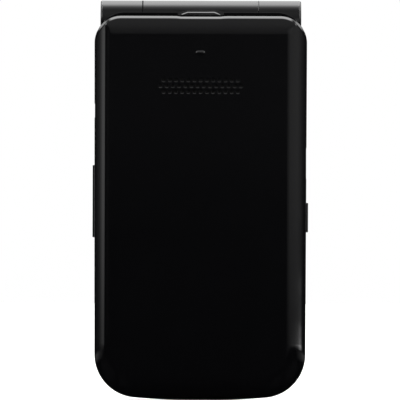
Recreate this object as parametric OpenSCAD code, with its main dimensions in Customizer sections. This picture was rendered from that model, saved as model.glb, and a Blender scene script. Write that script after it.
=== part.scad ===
// Clamshell telephone: a keypad half and a lid half joined by a spring-cam hinge.
// Drawn closed and upright, in millimetres. X is the width, Y runs from the battery cover
// (negative) to the outside of the lid (positive), and Z runs from the foot to the hinge.

/* [Shells] */
// Width over the battery cover
phone_w = 55; // [54:0.5:68]
// Height from the foot to the top of the hinge barrel
phone_h = 103.6; // [103:0.1:128]
// Radius of the two corners at the hinge end
hinge_corner_r = 7; // [6:0.5:9]
// Radius of the two corners at the foot
foot_corner_r = 11.2; // [8:0.2:14]
// Radius of the shallow arc along the foot
foot_arc_r = 198; // [120:1:400]
// How much narrower the phone is at the foot than at the hinge, on each side
taper = 0.2; // [0:0.05:0.6]
// How much narrower the chassis and the lid are than the battery cover, on each side
side_step = 0.15; // [0.1:0.05:0.4]
// Wall of the moulded shells
wall = 1.1; // [0.9:0.1:1.4]
// Wall of the battery cover
cover_wall = 0.9; // [0.7:0.1:1.2]
// Gap between the two halves when closed
seam_gap = 0.3; // [0.2:0.05:0.6]

/* [Hinge] */
// Diameter of the hinge barrel
barrel_d = 11.2; // [9.2:0.1:12.4]
// How far each end of the barrel stands in from the side of the battery cover
barrel_inset = 1.5; // [1:0.1:2]
// Length of the lid's knuckle that takes the flex cable
cable_knuckle_w = 11; // [10:0.5:12]
// Length of the lid's knuckle that holds the spring cartridge
spring_knuckle_w = 11; // [10.5:0.5:14]
// Gap between neighbouring knuckles, and round them
knuckle_gap = 0.3; // [0.2:0.05:0.5]
// Diameter of the spring cartridge
cartridge_d = 6; // [5.6:0.1:7]
// Diameter of the cam shaft inside the cartridge
cam_shaft_d = 3; // [2.4:0.1:3.2]
// Outside diameter of the hollow cable sleeve
sleeve_d = 7; // [6.6:0.1:8]

/* [Battery and board] */
// Width of the battery
battery_w = 44; // [36:0.5:45]
// Length of the battery
battery_l = 56; // [46:0.5:56.5]
// Thickness of the battery
battery_t = 4.4; // [3.6:0.1:5.4]
// Thickness of the circuit board
board_t = 0.8; // [0.6:0.1:1]
// Clearance round parts that sit in a pocket
pocket_clear = 0.1; // [0.05:0.05:0.2]

/* [Keys] */
// Width of a number key
key_w = 14.4; // [11:0.2:14.4]
// Height of a number key
key_h = 9.4; // [7.5:0.2:9.6]
// Distance between the rows of number keys
key_pitch_z = 10.8; // [10.7:0.1:11]
// Gap round a key in the keypad
key_gap = 0.15; // [0.1:0.05:0.25]
// Travel of a key
key_travel = 0.35; // [0.2:0.05:0.5]

/* [Display half] */
// Width of the inner display window
screen_w = 47; // [46:0.5:50]
// Height of the inner display window
screen_h = 62; // [60:0.5:64]
// Width of the outer window
outer_window_w = 33; // [32:0.5:39]
// Height of the outer window
outer_window_h = 41; // [40:0.5:44]

/* [Ports] */
// Radius of the headphone socket's bore
jack_r = 1.8; // [1.3:0.05:1.85]
// Length of the charging socket's opening
usb_w = 8.3; // [8:0.1:9.6]
// Height of the charging socket's opening
usb_h = 3.2; // [2.9:0.1:3.4]
// Length of the volume rocker
rocker_l = 18.7; // [15.5:0.1:22.4]
// Length of the side button
side_button_l = 7.6; // [6:0.1:9]
// How far the volume rocker stands out of the cover's outline
rocker_proud = 0.4; // [0.3:0.02:0.8]
// How far the side button stands out of the cover's outline
button_proud = 0.4; // [0.3:0.02:0.8]

/* [Hidden] */
$fn = 64;
eps = 0.02;
touch = 0.05;

// Layers of the keypad half, counted from its back towards the seam.
layer_air = 0.1;
floor_t = 0.8;
shield_h = 1.1;
dome_h = 0.3;
mat_t = 0.3;
key_flange_t = 0.55;
key_plate_t = 0.6;
key_rise = 0.25;
y_back = -9.5;
y_battery = y_back + cover_wall + layer_air;
y_floor = y_battery + battery_t + layer_air;
y_rim = y_floor - 1.3;
y_board = y_floor + floor_t + layer_air + shield_h;
y_dome = y_board + board_t;
y_mat = y_dome + dome_h;
y_key = y_mat + mat_t + key_travel + touch;
y_split = y_key - 0.1;
y_plate = y_key + key_flange_t + touch;
y_key_top = y_plate + key_plate_t + key_rise;
y_seam = y_key_top + touch;

// Layers of the lid, counted from the seam outwards.
inner_cover_t = 1.2;
screen_glass_t = 0.8;
display_t = 2;
lid_board_t = 0.8;
outer_display_t = 1.6;
ledge_t = 0.7;
outer_glass_t = 1;
lid_air = 0.15;
y_lid = y_seam + seam_gap;
y_shell = y_lid + inner_cover_t + touch;
y_display = y_lid + inner_cover_t + lid_air;
y_lid_board = y_display + display_t + lid_air;
y_outer_display = y_lid_board + lid_board_t + lid_air;
y_ledge = y_outer_display + outer_display_t + 0.1;
y_glass = y_ledge + ledge_t;
y_front = y_glass + outer_glass_t + touch;

// Hinge: the axis lies in the seam, along X.
barrel_r = barrel_d / 2;
hinge_y = (y_seam + y_lid) / 2;
hinge_z = phone_h - barrel_r;
swing_r = barrel_r + knuckle_gap;
cap_t = 0.5;
barrel_w = phone_w - 2 * barrel_inset;
barrel_end = barrel_w / 2 - cap_t - touch;
centre_x0 = -barrel_w / 2 + cable_knuckle_w;
centre_x1 = barrel_w / 2 - spring_knuckle_w;
centre_mid = (centre_x0 + centre_x1) / 2;
run_clear = 0.05;
press_clear = 0.02;
cam_head_r = 2.6;
cam_head_l = 3;
cable_bore_r = 4.1;
sleeve_l = 9;
sleeve_wall = 0.8;
sleeve_x1 = centre_x0 + sleeve_l / 2;
flex_w = 3;
flex_t = 0.15;
lip_w = 11.8;
lip_flat = 6.8;
lip_shoulder = 0.6;
lip_h = 1.2;

// Middle of a foot corner's rounding, and where it meets the shallow arc.
foot_flat = 5;
foot_arc_z = sqrt(pow(foot_arc_r, 2) - pow(foot_flat, 2));
foot_corner_x = phone_w / 2 - taper - foot_corner_r;
foot_corner_z = foot_arc_z - sqrt(pow(foot_arc_r - foot_corner_r, 2) - pow(foot_corner_x, 2));

// Heights that follow the hinge, and the rounding of the shells' edges.
cover_top = hinge_z + 1.7;
lid_top = hinge_z - 4.1;
side_band = 5.2;
side_band_r = 6;
hinge_band = 4.7;
hinge_band_r = 8;
foot_band = side_band - taper;
lid_edge_r = 3;
lid_shoulder_r = 5;
cavity_top = hinge_z - swing_r - 1.9;
chassis_w = phone_w - 2 * side_step;
chassis_half = chassis_w / 2;
inner_half = chassis_half - wall;

// Keypad, measured up from the foot.
key_pitch_x = key_w + 1.2;
key_corner_r = 2;
flange = 0.5;
digit_z0 = 14.6;
digit_rows = 4;
aux_w = key_w - 1.8;
aux_h = 7.4;
aux_z = digit_z0 + digit_rows * key_pitch_z - 0.2;
nav_w = 20;
nav_h = 17;
nav_r = 7.5;
nav_z = aux_z + 13.6;
ok_r = 4.2;
corner_key_w = 11.4;
corner_key_h = 7.2;
corner_key_x = nav_w / 2 + 1.2 + corner_key_w / 2;
corner_key_dz = 4.4;
keypad_top = nav_z + nav_h / 2 + flange;
mic_z = 5;
mic_r = 2;

// Parts inside the keypad half.
battery_z0 = 14;
bay_wall = 0.9;
connector_w = 10;
connector_h = 2.5;
connector_z = battery_z0 + battery_l + 0.25 + connector_h / 2;
sim_w = 16;
sim_h = 24;
sim_x = -11.5;
sim_z = 31;
board_top = hinge_z - 10;
can_foot = sim_z + sim_h / 2 + 5.5;
can_top = connector_z - connector_h / 2 - 4.75;
cans = [[11.5, sim_z, 17, 26], [0, (can_foot + can_top) / 2, 40, can_top - can_foot],
    [2, board_top - 8.5, 26, 9]];
speaker_w = 24;
speaker_h = 10;
speaker_z = cover_top - 18.4;
grille_pitch = 1.6;
grille_row = 1.5;
grille_hole_r = 0.45;
grille_long = 14;
motor_r = 4;
motor_t = 2.6;
motor_x = 18.2;
antenna_w = 38;
antenna_h = 8.2;
antenna_z = hinge_z - 5.5;
pip_w = 2.6;
pip_h = 1.1;
pip_rise = 0.25;
pip_z = cover_top - 9.7;
board_edge = 2.5;

// Sockets, side keys and their switches.
jack_y = y_dome - jack_r - 0.2;
jack_z = hinge_z - 23.2;
jack_l = 11.7;
usb_y = y_board - 0.6;
usb_z = hinge_z - 36.7;
usb_depth = 5.5;
side_key_y = y_board - 1;
side_key_h = 2.4;
rocker_z = hinge_z - 46.6;
side_button_z = hinge_z - 50.7;
side_flange_out = inner_half - 0.3;
side_flange_in = inner_half - 0.75;
switch_face = inner_half - 1.35;
switch_l = 3.6;
switch_dz = 6;
rocker_nub = 0.4;
button_nub = 0.25;

// Screws.
screw_r = 0.7;
screw_head_r = 1.3;
screw_head_t = 0.6;
boss_r = 1.8;
foot_screw_x = phone_w / 2 - 8;
foot_screw_z = foot_corner_z - 6.4;
top_screw_x = phone_w / 2 - 5;
top_screw_z = hinge_z - 10.9;
lid_screw_r = 0.6;
lid_screw_head_r = 1.2;
lid_boss_r = 1.5;
bumper_r = 1.6;
bumper_t = 0.95;
lid_foot_screw_x = phone_w / 2 - 5.5;
lid_foot_screw_z = foot_corner_z - 5;
lid_top_screw_x = phone_w / 2 - 4.3;
lid_top_screw_z = hinge_z - 14.8;

// Parts in the lid.
screen_z = 47;
screen_frame = 2.5;
display_w = 43.5;
display_h = 58;
earpiece_z = 8.4;
window_frame = 2;
outer_window_z = 64;
outer_display_w = 27;
outer_display_h = 26;
outer_display_z = outer_window_z - outer_window_h / 2 + 3.6 + outer_display_h / 2;
camera_size = 7.2;
camera_z = outer_window_z + outer_window_h / 2 - 7;
camera_r = 2.6;
lid_board_w = 40;
lid_board_z0 = 13;
lid_board_top = hinge_z - 9.4;
tail_x = centre_x0 - 7.6;
tail_y = y_lid + 2.3;
magnet_z = 24;

// ---- Ways to draw -------------------------------------------------------------------------

// Extrudes a shape drawn in X and Z from y0 to y1.
module along_y(y0, y1)
    translate([0, y1, 0]) rotate([90, 0, 0]) linear_extrude(y1 - y0) children();

// Extrudes a shape drawn in Y and Z from x0 to x1.
module along_x(x0, x1)
    translate([x0, 0, 0]) rotate([90, 0, 90]) linear_extrude(x1 - x0) children();

module rounded(w, h, r) {
    square([w - 2 * r, h], center = true);
    square([w, h - 2 * r], center = true);
    for (x = [-1, 1], z = [-1, 1]) translate([x * (w / 2 - r), z * (h / 2 - r)]) circle(r);
}

module slab(w, h, y0, y1, x = 0, z = 0)
    translate([x - w / 2, y0, z - h / 2]) cube([w, y1 - y0, h]);

module rounded_slab(w, h, r, y0, y1, x = 0, z = 0)
    along_y(y0, y1) translate([x, z]) rounded(w, h, r);

module peg_y(r, y0, y1, x = 0, z = 0)
    translate([x, y0, z]) rotate([-90, 0, 0]) cylinder(r = r, h = y1 - y0);

// A rod on the hinge axis.
module on_axis(r, x0, x1)
    translate([x0, hinge_y, hinge_z]) rotate([0, 90, 0]) cylinder(r = r, h = x1 - x0);

// A block at one side, between two distances from the middle of the phone.
module side_block(side, inner, outer, length, height, y, z)
    translate([side > 0 ? inner : -outer, y - height / 2, z - length / 2])
        cube([outer - inner, height, length]);

// Places its children at two heights on both sides.
module mirrored_pairs(x0, z0, x1, z1) for (s = [-1, 1]) {
    translate([s * x0, 0, z0]) children();
    translate([s * x1, 0, z1]) children();
}

module at_base_screws() mirrored_pairs(foot_screw_x, foot_screw_z, top_screw_x, top_screw_z)
    children();

module at_lid_screws()
    mirrored_pairs(lid_foot_screw_x, lid_foot_screw_z, lid_top_screw_x, lid_top_screw_z)
        children();

// Front view of the shells: nearly straight sides, round corners and a shallow arc with a
// short flat at the foot.
module outline(w, top, inset = 0) {
    half = w / 2 - inset;
    foot_half = half - taper;
    rt = hinge_corner_r - inset;
    rf = foot_corner_r - inset;
    arc = foot_arc_r - inset;
    arc_z = inset + sqrt(pow(arc, 2) - pow(foot_flat, 2));
    cx = foot_half - rf;
    cz = arc_z - sqrt(pow(arc - rf, 2) - pow(cx, 2));
    flat_x = cx * (arc_z - inset) / (arc_z - cz);
    corner_z = top - inset - rt;
    polygon([[-foot_half, cz], [foot_half, cz], [half, corner_z], [-half, corner_z]]);
    translate([rt - half, cz]) square([2 * (half - rt), top - inset - cz]);
    for (x = [-1, 1]) {
        translate([x * (half - rt), corner_z]) circle(rt);
        translate([x * cx, cz]) circle(rf);
    }
    intersection() {
        translate([0, arc_z]) circle(arc, $fn = 720);
        polygon([[-cx, cz + eps], [cx, cz + eps], [cx, cz], [flat_x, inset],
            [-flat_x, inset], [-cx, cz]]);
    }
}

module chassis_block(y0, y1, inset = 0, top = cover_top)
    along_y(y0, y1) outline(chassis_w, top, inset);

// Profile of a band: the flat part up to the middle of the arc, and the arc.
module band_profile(inset, y1, flat_w, flat_end) {
    translate([flat_end - flat_w, y_back + inset]) square([flat_w, y1 - y_back - inset]);
    translate([flat_end, y_back + side_band_r]) circle(side_band_r - inset, $fn = 96);
}

// The back of the keypad half: flat, with a curved band along each edge. The band follows the
// round corners at the foot and is mitred at the hinge.
module back_form(inset, y1) {
    half = phone_w / 2;
    flat_y = y_back + inset;
    height = cover_top - foot_corner_z;
    corner_in = foot_corner_r - foot_band;
    intersection() {
        along_y(flat_y, y1) outline(phone_w, cover_top, inset);
        union() {
            intersection() {
                translate([0, 0, foot_corner_z]) linear_extrude(height)
                    for (s = [0, 1]) mirror([s, 0])
                        band_profile(inset, y1, half - side_band, half - side_band);
                along_x(-half, half) {
                    translate([flat_y, foot_corner_z])
                        square([y1 - flat_y, height - hinge_band]);
                    translate([y_back + hinge_band_r, cover_top - hinge_band])
                        circle(hinge_band_r - inset, $fn = 96);
                }
            }
            for (s = [0, 1]) mirror([s, 0, 0])
                translate([foot_corner_x, 0, foot_corner_z]) rotate([-90, 0, 0])
                    rotate_extrude(angle = 90, $fn = 96)
                        band_profile(inset, y1, corner_in, corner_in);
            along_x(-foot_corner_x, foot_corner_x) {
                translate([flat_y, foot_corner_z - corner_in]) square([y1 - flat_y, corner_in]);
                translate([y_back + side_band_r, foot_corner_z - corner_in])
                    circle(side_band_r - inset, $fn = 96);
            }
        }
    }
}

// The outside of the lid, with round edges and a shoulder down to the barrel.
module front_form(inset, y0, top = lid_top) {
    flat_y = y_front - inset;
    edge_x = chassis_half - lid_edge_r;
    edge_y = y_front - lid_edge_r;
    shoulder_y = y_front - lid_shoulder_r;
    shoulder_z = lid_top - lid_shoulder_r;
    intersection() {
        along_y(y0, flat_y) outline(chassis_w, top, inset);
        linear_extrude(phone_h) {
            translate([-edge_x, y0]) square([2 * edge_x, flat_y - y0]);
            translate([-chassis_half, y0]) square([chassis_w, edge_y - y0]);
            for (x = [-1, 1]) translate([x * edge_x, edge_y]) circle(lid_edge_r - inset);
        }
        along_x(-chassis_half, chassis_half) {
            translate([y0, 0]) square([edge_y - y0, lid_edge_r + eps]);
            translate([y0, lid_edge_r]) square([flat_y - y0, shoulder_z - lid_edge_r]);
            translate([y0, shoulder_z - eps]) square([shoulder_y - y0, phone_h - shoulder_z]);
            translate([edge_y, lid_edge_r]) circle(lid_edge_r - inset);
            translate([shoulder_y, shoulder_z]) circle(lid_shoulder_r - inset);
        }
    }
}

// Room for the lid's knuckles in the keypad half.
module lid_knuckle_space() {
    on_axis(swing_r, -phone_w, centre_x0 + eps);
    on_axis(swing_r, centre_x1 - eps, phone_w);
}

// ---- Keypad half: shells ------------------------------------------------------------------

module grille_holes(y0, y1)
    for (row = [-1, 0, 1], i = [0 : grille_long - 1 - abs(row)])
        peg_y(grille_hole_r, y0, y1, (i - (grille_long - 1 - abs(row)) / 2) * grille_pitch,
            speaker_z + row * grille_row);

module battery_cover() color([0.03, 0.03, 0.03]) difference() {
    union() {
        back_form(0, y_rim);
        // A pip that keeps the loudspeaker's holes clear of a table.
        rounded_slab(pip_w, pip_h, pip_h / 2 - eps, y_back - pip_rise, y_back + 0.3, 0, pip_z);
    }
    back_form(cover_wall, y_rim + eps);
    grille_holes(y_back - 1, y_back + cover_wall + 1);
    // Shallow flats that give a plug room next to the two sockets.
    side_block(-1, chassis_half, phone_w, 2 * jack_r + 0.4, 5, y_rim, jack_z);
    side_block(1, chassis_half, phone_w, usb_w, 5, y_rim, usb_z);
}

// A small tab beside the cover's edge, where a fingernail lifts the battery cover.
module lift_tab()
    along_y(y_rim + 0.6, hinge_y) polygon([
        [centre_mid - lip_w / 2, cover_top - 3],
        [centre_mid - lip_w / 2, cover_top + lip_shoulder],
        [centre_mid - lip_flat / 2, cover_top + lip_h],
        [centre_mid + lip_flat / 2, cover_top + lip_h],
        [centre_mid + lip_w / 2, cover_top + lip_shoulder],
        [centre_mid + lip_w / 2, cover_top - 3]]);

module fence(w, h, r, y0, x, z) difference() {
    rounded_slab(w + 2 * (pocket_clear + bay_wall), h + 2 * (pocket_clear + bay_wall),
        r + pocket_clear + bay_wall, y0, y_floor + eps, x, z);
    rounded_slab(w + 2 * pocket_clear, h + 2 * pocket_clear, r + pocket_clear, y0 - 1,
        y_floor + 1, x, z);
}

module side_key_cut(side, length, z) {
    side_block(side, inner_half - 1, phone_w, length + 2 * key_gap, side_key_h + 2 * key_gap,
        side_key_y, z);
    side_block(side, switch_face - 0.2, inner_half + eps, length + 1.4, side_key_h + 0.9,
        side_key_y, z);
}

module rear_housing() color([0.04, 0.04, 0.045]) difference() {
    union() {
        difference() {
            chassis_block(y_rim + touch, y_split);
            chassis_block(y_rim, y_split + 1, wall, cavity_top + wall);
            lid_knuckle_space();
        }
        // The rim that the battery cover slips over, left out in the middle of the foot.
        difference() {
            along_y(y_rim - 0.5, y_rim + 1.1) difference() {
                outline(phone_w, cover_top, cover_wall + 0.25);
                outline(phone_w, cover_top, cover_wall + 0.95);
            }
            slab(2 * foot_corner_x - 4, 6, y_rim - 1, y_rim + touch);
        }
        // Floor under the battery, and the fences that stand on it.
        chassis_block(y_floor, y_floor + floor_t, wall / 2, cavity_top + wall);
        fence(battery_w, battery_l, 0.5, y_battery, 0, battery_z0 + battery_l / 2);
        fence(speaker_w, speaker_h, 1, y_battery + 0.4, 0, speaker_z);
        fence(2 * motor_r, 2 * motor_r, motor_r - eps, y_floor - motor_t, motor_x, speaker_z);
        at_base_screws() peg_y(boss_r, y_rim, y_floor + eps);
        on_axis(barrel_r, centre_x0 + knuckle_gap / 2, centre_x1 - knuckle_gap / 2);
        lift_tab();
    }
    at_base_screws() {
        peg_y(screw_r + pocket_clear, y_rim - 1, y_split + 1);
        peg_y(screw_head_r + pocket_clear, y_rim - 1, y_floor - 0.2);
    }
    // Windows in the floor.
    slab(sim_w + 0.4, sim_h + 0.4, y_floor - eps, y_floor + 1, sim_x, sim_z);
    slab(connector_w + 0.2, connector_h + 0.4, y_battery - 1, y_floor + 1, 0,
        connector_z - 0.1);
    // Sockets and side keys.
    side_block(-1, chassis_half - 1.2 - jack_l, inner_half + eps, 2 * jack_r + 0.6,
        2 * jack_r + 0.6, jack_y, jack_z);
    translate([-phone_w, jack_y, jack_z]) rotate([0, 90, 0])
        cylinder(r = jack_r + 0.1, h = phone_w - inner_half + 1);
    side_block(1, chassis_half - usb_depth - 0.5, phone_w, usb_w, usb_h, usb_y, usb_z);
    side_key_cut(-1, rocker_l, rocker_z);
    side_key_cut(1, side_button_l, side_button_z);
    // Hollow of the centre knuckle, the way in for the flex cable and the cam's socket.
    on_axis(sleeve_d / 2 + press_clear, centre_x0, sleeve_x1 + 0.1);
    on_axis(cable_bore_r, sleeve_x1 + 0.1, centre_x1 - cam_head_l - 2);
    slab(flex_w + 0.6, 8, y_dome - 0.25, y_dome + 0.45, sleeve_x1 + 0.4 + flex_w / 2,
        hinge_z - 5);
    along_x(centre_x1 - cam_head_l - 0.3, centre_x1) translate([hinge_y, hinge_z])
        circle(cam_head_r + pocket_clear, $fn = 6);
}

// The frame round the keypad, with a lip that the key plate is bonded under.
module keypad_housing() color([0.05, 0.05, 0.055]) difference() {
    chassis_block(y_split + touch, y_seam, 0, hinge_z);
    chassis_block(y_split, y_plate + key_plate_t + touch, wall, cavity_top + wall);
    chassis_block(y_plate + key_plate_t, y_seam + 1, wall + 0.5, cavity_top + 0.5);
    on_axis(swing_r, -phone_w, phone_w);
}

// The plate that the keys come up through, with the bosses for the screws.
module keypad_plate() color([0.06, 0.06, 0.065]) difference() {
    union() {
        chassis_block(y_plate, y_plate + key_plate_t, wall + pocket_clear, cavity_top + wall);
        at_base_screws() peg_y(boss_r - 0.2, y_dome + eps, y_plate + eps);
    }
    at_base_screws() peg_y(screw_r + eps, y_dome - 1, y_plate + eps);
    key_openings();
    peg_y(0.5, y_plate - 1, y_seam + 1, 0, mic_z);
}

// ---- Keypad half: keys --------------------------------------------------------------------

function digit_x(i) = (1 - i % 3) * key_pitch_x;
function digit_z(i) = digit_z0 + (digit_rows - 1 - floor(i / 3)) * key_pitch_z;

// A keycap: the part that shows, and a wider flange that the plate holds down.
module keycap(w, h, r, x, z) {
    rounded_slab(w, h, r, y_key, y_key_top, x, z);
    rounded_slab(w + 2 * flange, h + 2 * flange, r + flange, y_key, y_key + key_flange_t,
        x, z);
}

module key_hole(w, h, r, x, z)
    rounded_slab(w + 2 * key_gap, h + 2 * key_gap, r + key_gap, y_plate - eps, y_seam + 1,
        x, z);

module key_openings() {
    for (i = [0 : 11]) key_hole(key_w, key_h, key_corner_r, digit_x(i), digit_z(i));
    for (s = [-1, 0, 1]) key_hole(aux_w, aux_h, key_corner_r, s * key_pitch_x, aux_z);
    for (s = [-1, 1], t = [-1, 1])
        key_hole(corner_key_w, corner_key_h, key_corner_r, s * corner_key_x,
            nav_z + t * corner_key_dz);
    key_hole(nav_w, nav_h, nav_r, 0, nav_z);
}

module digit_key(i) color([0.12, 0.12, 0.13])
    keycap(key_w, key_h, key_corner_r, digit_x(i), digit_z(i));

module aux_key(column) color([0.12, 0.12, 0.13])
    keycap(aux_w, aux_h, key_corner_r, column * key_pitch_x, aux_z);

module corner_key(side, row) color([0.12, 0.12, 0.13])
    keycap(corner_key_w, corner_key_h, key_corner_r, side * corner_key_x,
        nav_z + row * corner_key_dz);

module nav_ring() color([0.5, 0.5, 0.52]) difference() {
    keycap(nav_w, nav_h, nav_r, 0, nav_z);
    peg_y(ok_r + key_gap, y_key - 1, y_seam + 1, 0, nav_z);
    peg_y(ok_r + flange + key_gap, y_key - 1, y_key + key_flange_t + touch, 0, nav_z);
}

module ok_key() color([0.12, 0.12, 0.13]) {
    peg_y(ok_r, y_key, y_key_top, 0, nav_z);
    peg_y(ok_r + flange, y_key, y_key + key_flange_t - key_travel, 0, nav_z);
}

module side_key(side, length, proud, nub, nub_dz, z) color([0.06, 0.06, 0.065]) {
    side_block(side, side_flange_out - eps, phone_w / 2 + proud, length, side_key_h,
        side_key_y, z);
    side_block(side, side_flange_in, side_flange_out, length + 1, side_key_h + 0.6,
        side_key_y, z);
    for (dz = nub_dz) side_block(side, side_flange_in - nub, side_flange_in + eps, 1.6, 0.8,
        side_key_y, z + dz);
}

// ---- Keypad half: insides -----------------------------------------------------------------

module battery() color([0.2, 0.22, 0.24])
    rounded_slab(battery_w, battery_l, 0.5, y_battery, y_battery + battery_t, 0,
        battery_z0 + battery_l / 2);

module battery_connector() color([0.75, 0.65, 0.35]) {
    slab(connector_w, connector_h, y_board - 4, y_board, 0, connector_z);
    for (x = [-3, 0, 3])
        slab(1, 0.4, y_board - 3.6, y_board - 2.4, x, battery_z0 + battery_l + 0.25);
}

module main_board() color([0.05, 0.25, 0.12]) difference() {
    along_y(y_board, y_dome) outline(phone_w, board_top + board_edge, board_edge);
    at_base_screws() peg_y(screw_r + 0.2, y_board - 1, y_dome + 1);
    side_block(-1, chassis_half - 1.4 - jack_l, phone_w, 2 * jack_r + 0.7, 3, y_board, jack_z);
    side_block(1, chassis_half - usb_depth - 0.5, phone_w, usb_w, 3, y_board, usb_z);
}

module shield_cans() color([0.75, 0.76, 0.78])
    for (c = cans) rounded_slab(c[2], c[3], 0.8, y_board - shield_h, y_board, c[0], c[1]);

module dome_sheet() color([0.85, 0.85, 0.8]) {
    slab(46, keypad_top - 9.2, y_dome, y_dome + 0.1, 0, (keypad_top + 9.2) / 2);
    for (i = [0 : 11]) peg_y(2.2, y_dome + 0.08, y_mat - eps, digit_x(i), digit_z(i));
    for (s = [-1, 0, 1]) peg_y(2.2, y_dome + 0.08, y_mat - eps, s * key_pitch_x, aux_z);
    for (s = [-1, 1], t = [-1, 1])
        peg_y(2.2, y_dome + 0.08, y_mat - eps, s * corner_key_x, nav_z + t * corner_key_dz);
    for (a = [0 : 90 : 270])
        peg_y(1.4, y_dome + 0.08, y_mat - eps, 7 * cos(a), nav_z + 6.4 * sin(a));
    peg_y(2.2, y_dome + 0.08, y_mat - eps, 0, nav_z);
}

module key_mat() color([0.7, 0.72, 0.75])
    rounded_slab(46.4, keypad_top - 8.8, 2, y_mat, y_mat + mat_t, 0, (keypad_top + 8.8) / 2);

// The loudspeaker, and the dust cloth in front of it.
module loudspeaker() {
    color([0.15, 0.15, 0.16]) difference() {
        rounded_slab(speaker_w, speaker_h, 1, y_back + cover_wall + 0.3, y_floor - 0.1, 0,
            speaker_z);
        rounded_slab(speaker_w - 3, speaker_h - 3, 0.8, y_back, y_back + cover_wall + 0.8, 0,
            speaker_z);
    }
    color([0.1, 0.1, 0.1])
        rounded_slab(speaker_w - 1, speaker_h - 1, 1, y_back + cover_wall + 0.05,
            y_back + cover_wall + 0.25, 0, speaker_z);
}

module vibration_motor() color([0.7, 0.7, 0.72]) {
    peg_y(motor_r, y_floor - motor_t + 0.1, y_floor - touch, motor_x, speaker_z);
    peg_y(1.2, y_floor - motor_t - 0.1, y_floor - motor_t + 0.2, motor_x, speaker_z);
}

module microphone() color([0.7, 0.7, 0.72]) difference() {
    peg_y(mic_r, y_dome, y_plate - 0.1, 0, mic_z);
    peg_y(0.6, y_plate - 0.6, y_plate + 1, 0, mic_z);
}

module usb_port() color([0.8, 0.8, 0.82]) {
    difference() {
        side_block(1, chassis_half - usb_depth, chassis_half - 0.25, usb_w - 0.7, usb_h - 0.5,
            usb_y, usb_z);
        side_block(1, chassis_half - usb_depth + 0.6, phone_w, usb_w - 1.3, usb_h - 1.1,
            usb_y, usb_z);
    }
    side_block(1, chassis_half - usb_depth + 0.5, chassis_half - 1, usb_w - 3.2, 0.7,
        usb_y, usb_z);
}

module audio_jack() color([0.1, 0.1, 0.11]) difference() {
    side_block(-1, chassis_half - 1.2 - jack_l, inner_half - touch, 2 * jack_r + 0.4,
        2 * jack_r + 0.4, jack_y, jack_z);
    translate([-phone_w, jack_y, jack_z]) rotate([0, 90, 0])
        cylinder(r = jack_r, h = phone_w - inner_half + jack_l - 1);
}

module sim_holder() color([0.78, 0.78, 0.8]) difference() {
    slab(sim_w, sim_h, y_board - 1.5, y_board, sim_x, sim_z);
    slab(sim_w - 2, sim_h - 2, y_board - 0.9, y_board - 0.3, sim_x, sim_z + 2);
    slab(sim_w - 8, sim_h - 12, y_board - 2, y_board - 0.6, sim_x, sim_z);
}

module antenna_carrier() color([0.25, 0.25, 0.27]) {
    rounded_slab(antenna_w, antenna_h, 1.5, y_back + cover_wall + 0.5, y_rim - 0.05, 0,
        antenna_z);
    for (dz = [-2.6, 0, 2.6])
        slab(antenna_w - 4, 1.1, y_back + cover_wall + 0.4, y_back + cover_wall + 0.5 + eps,
            0, antenna_z + dz);
}

module side_switches() color([0.8, 0.78, 0.7]) {
    for (dz = [-switch_dz, switch_dz])
        side_block(-1, switch_face - 1.6, switch_face, switch_l, shield_h, y_board - shield_h / 2,
            rocker_z + dz);
    side_block(1, switch_face - 1.6, switch_face, switch_l, shield_h, y_board - shield_h / 2,
        side_button_z);
}

module base_screws() color([0.65, 0.65, 0.68]) at_base_screws() difference() {
    union() {
        peg_y(screw_r, y_floor - 0.2 - eps, y_plate - 0.1);
        peg_y(screw_head_r, y_floor - 0.2 - screw_head_t, y_floor - 0.2);
    }
    for (a = [0, 90]) translate([0, y_floor - 1, 0]) rotate([0, a, 0])
        cube([1.5, 1.1, 0.35], center = true);
}

// ---- Hinge --------------------------------------------------------------------------------

module hinge_sleeve() color([0.6, 0.6, 0.62]) difference() {
    on_axis(sleeve_d / 2, sleeve_x1 - sleeve_l, sleeve_x1);
    on_axis(sleeve_d / 2 - sleeve_wall, sleeve_x1 - sleeve_l - 1, sleeve_x1 + 1);
}

module hinge_flex() color([0.7, 0.4, 0.1]) {
    roll_r = sleeve_d / 2 - sleeve_wall - 0.08;
    tail = sleeve_x1 + 0.4 + flex_w / 2;
    difference() {
        on_axis(roll_r, sleeve_x1 - sleeve_l + 0.2, tail + flex_w / 2);
        on_axis(roll_r - 0.3, sleeve_x1 - sleeve_l - 1, tail + flex_w);
    }
    slab(flex_w, 16, y_dome, y_dome + flex_t, tail, hinge_z - 7.8);
}

module hinge_cam_shaft() color([0.62, 0.62, 0.65]) {
    along_x(centre_x1 - cam_head_l - 0.2, centre_x1 - 0.2) translate([hinge_y, hinge_z])
        circle(cam_head_r, $fn = 6);
    on_axis(cam_shaft_d / 2, centre_x1 - 0.2 - eps, barrel_end - 2.5);
    on_axis(cartridge_d / 2 - 0.6, centre_x1 + 2.9, centre_x1 + 4.4);
}

module hinge_cartridge() color([0.55, 0.55, 0.57]) difference() {
    on_axis(cartridge_d / 2, centre_x1 + knuckle_gap / 2 + touch, barrel_end - 0.6);
    on_axis(cam_shaft_d / 2 + run_clear, centre_x1, centre_x1 + 3);
    on_axis(cartridge_d / 2 - 0.5, centre_x1 + 2.7, barrel_end - 1.8);
}

// A compression spring of square wire, wound round the cam shaft.
module hinge_spring() color([0.7, 0.7, 0.72]) {
    turns = 4;
    inner = cam_shaft_d / 2 + 0.2;
    outer = cartridge_d / 2 - 0.7;
    half_ring = concat([for (a = [0 : 30 : 180]) outer * [cos(a), sin(a)]],
        [for (a = [180 : -30 : 0]) inner * [cos(a), sin(a)]]);
    translate([centre_x1 + 4.5, hinge_y, hinge_z]) rotate([0, 90, 0])
        linear_extrude(barrel_end - centre_x1 - 6.6, twist = -360 * turns, slices = 10 * turns)
            polygon(half_ring);
}

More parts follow.
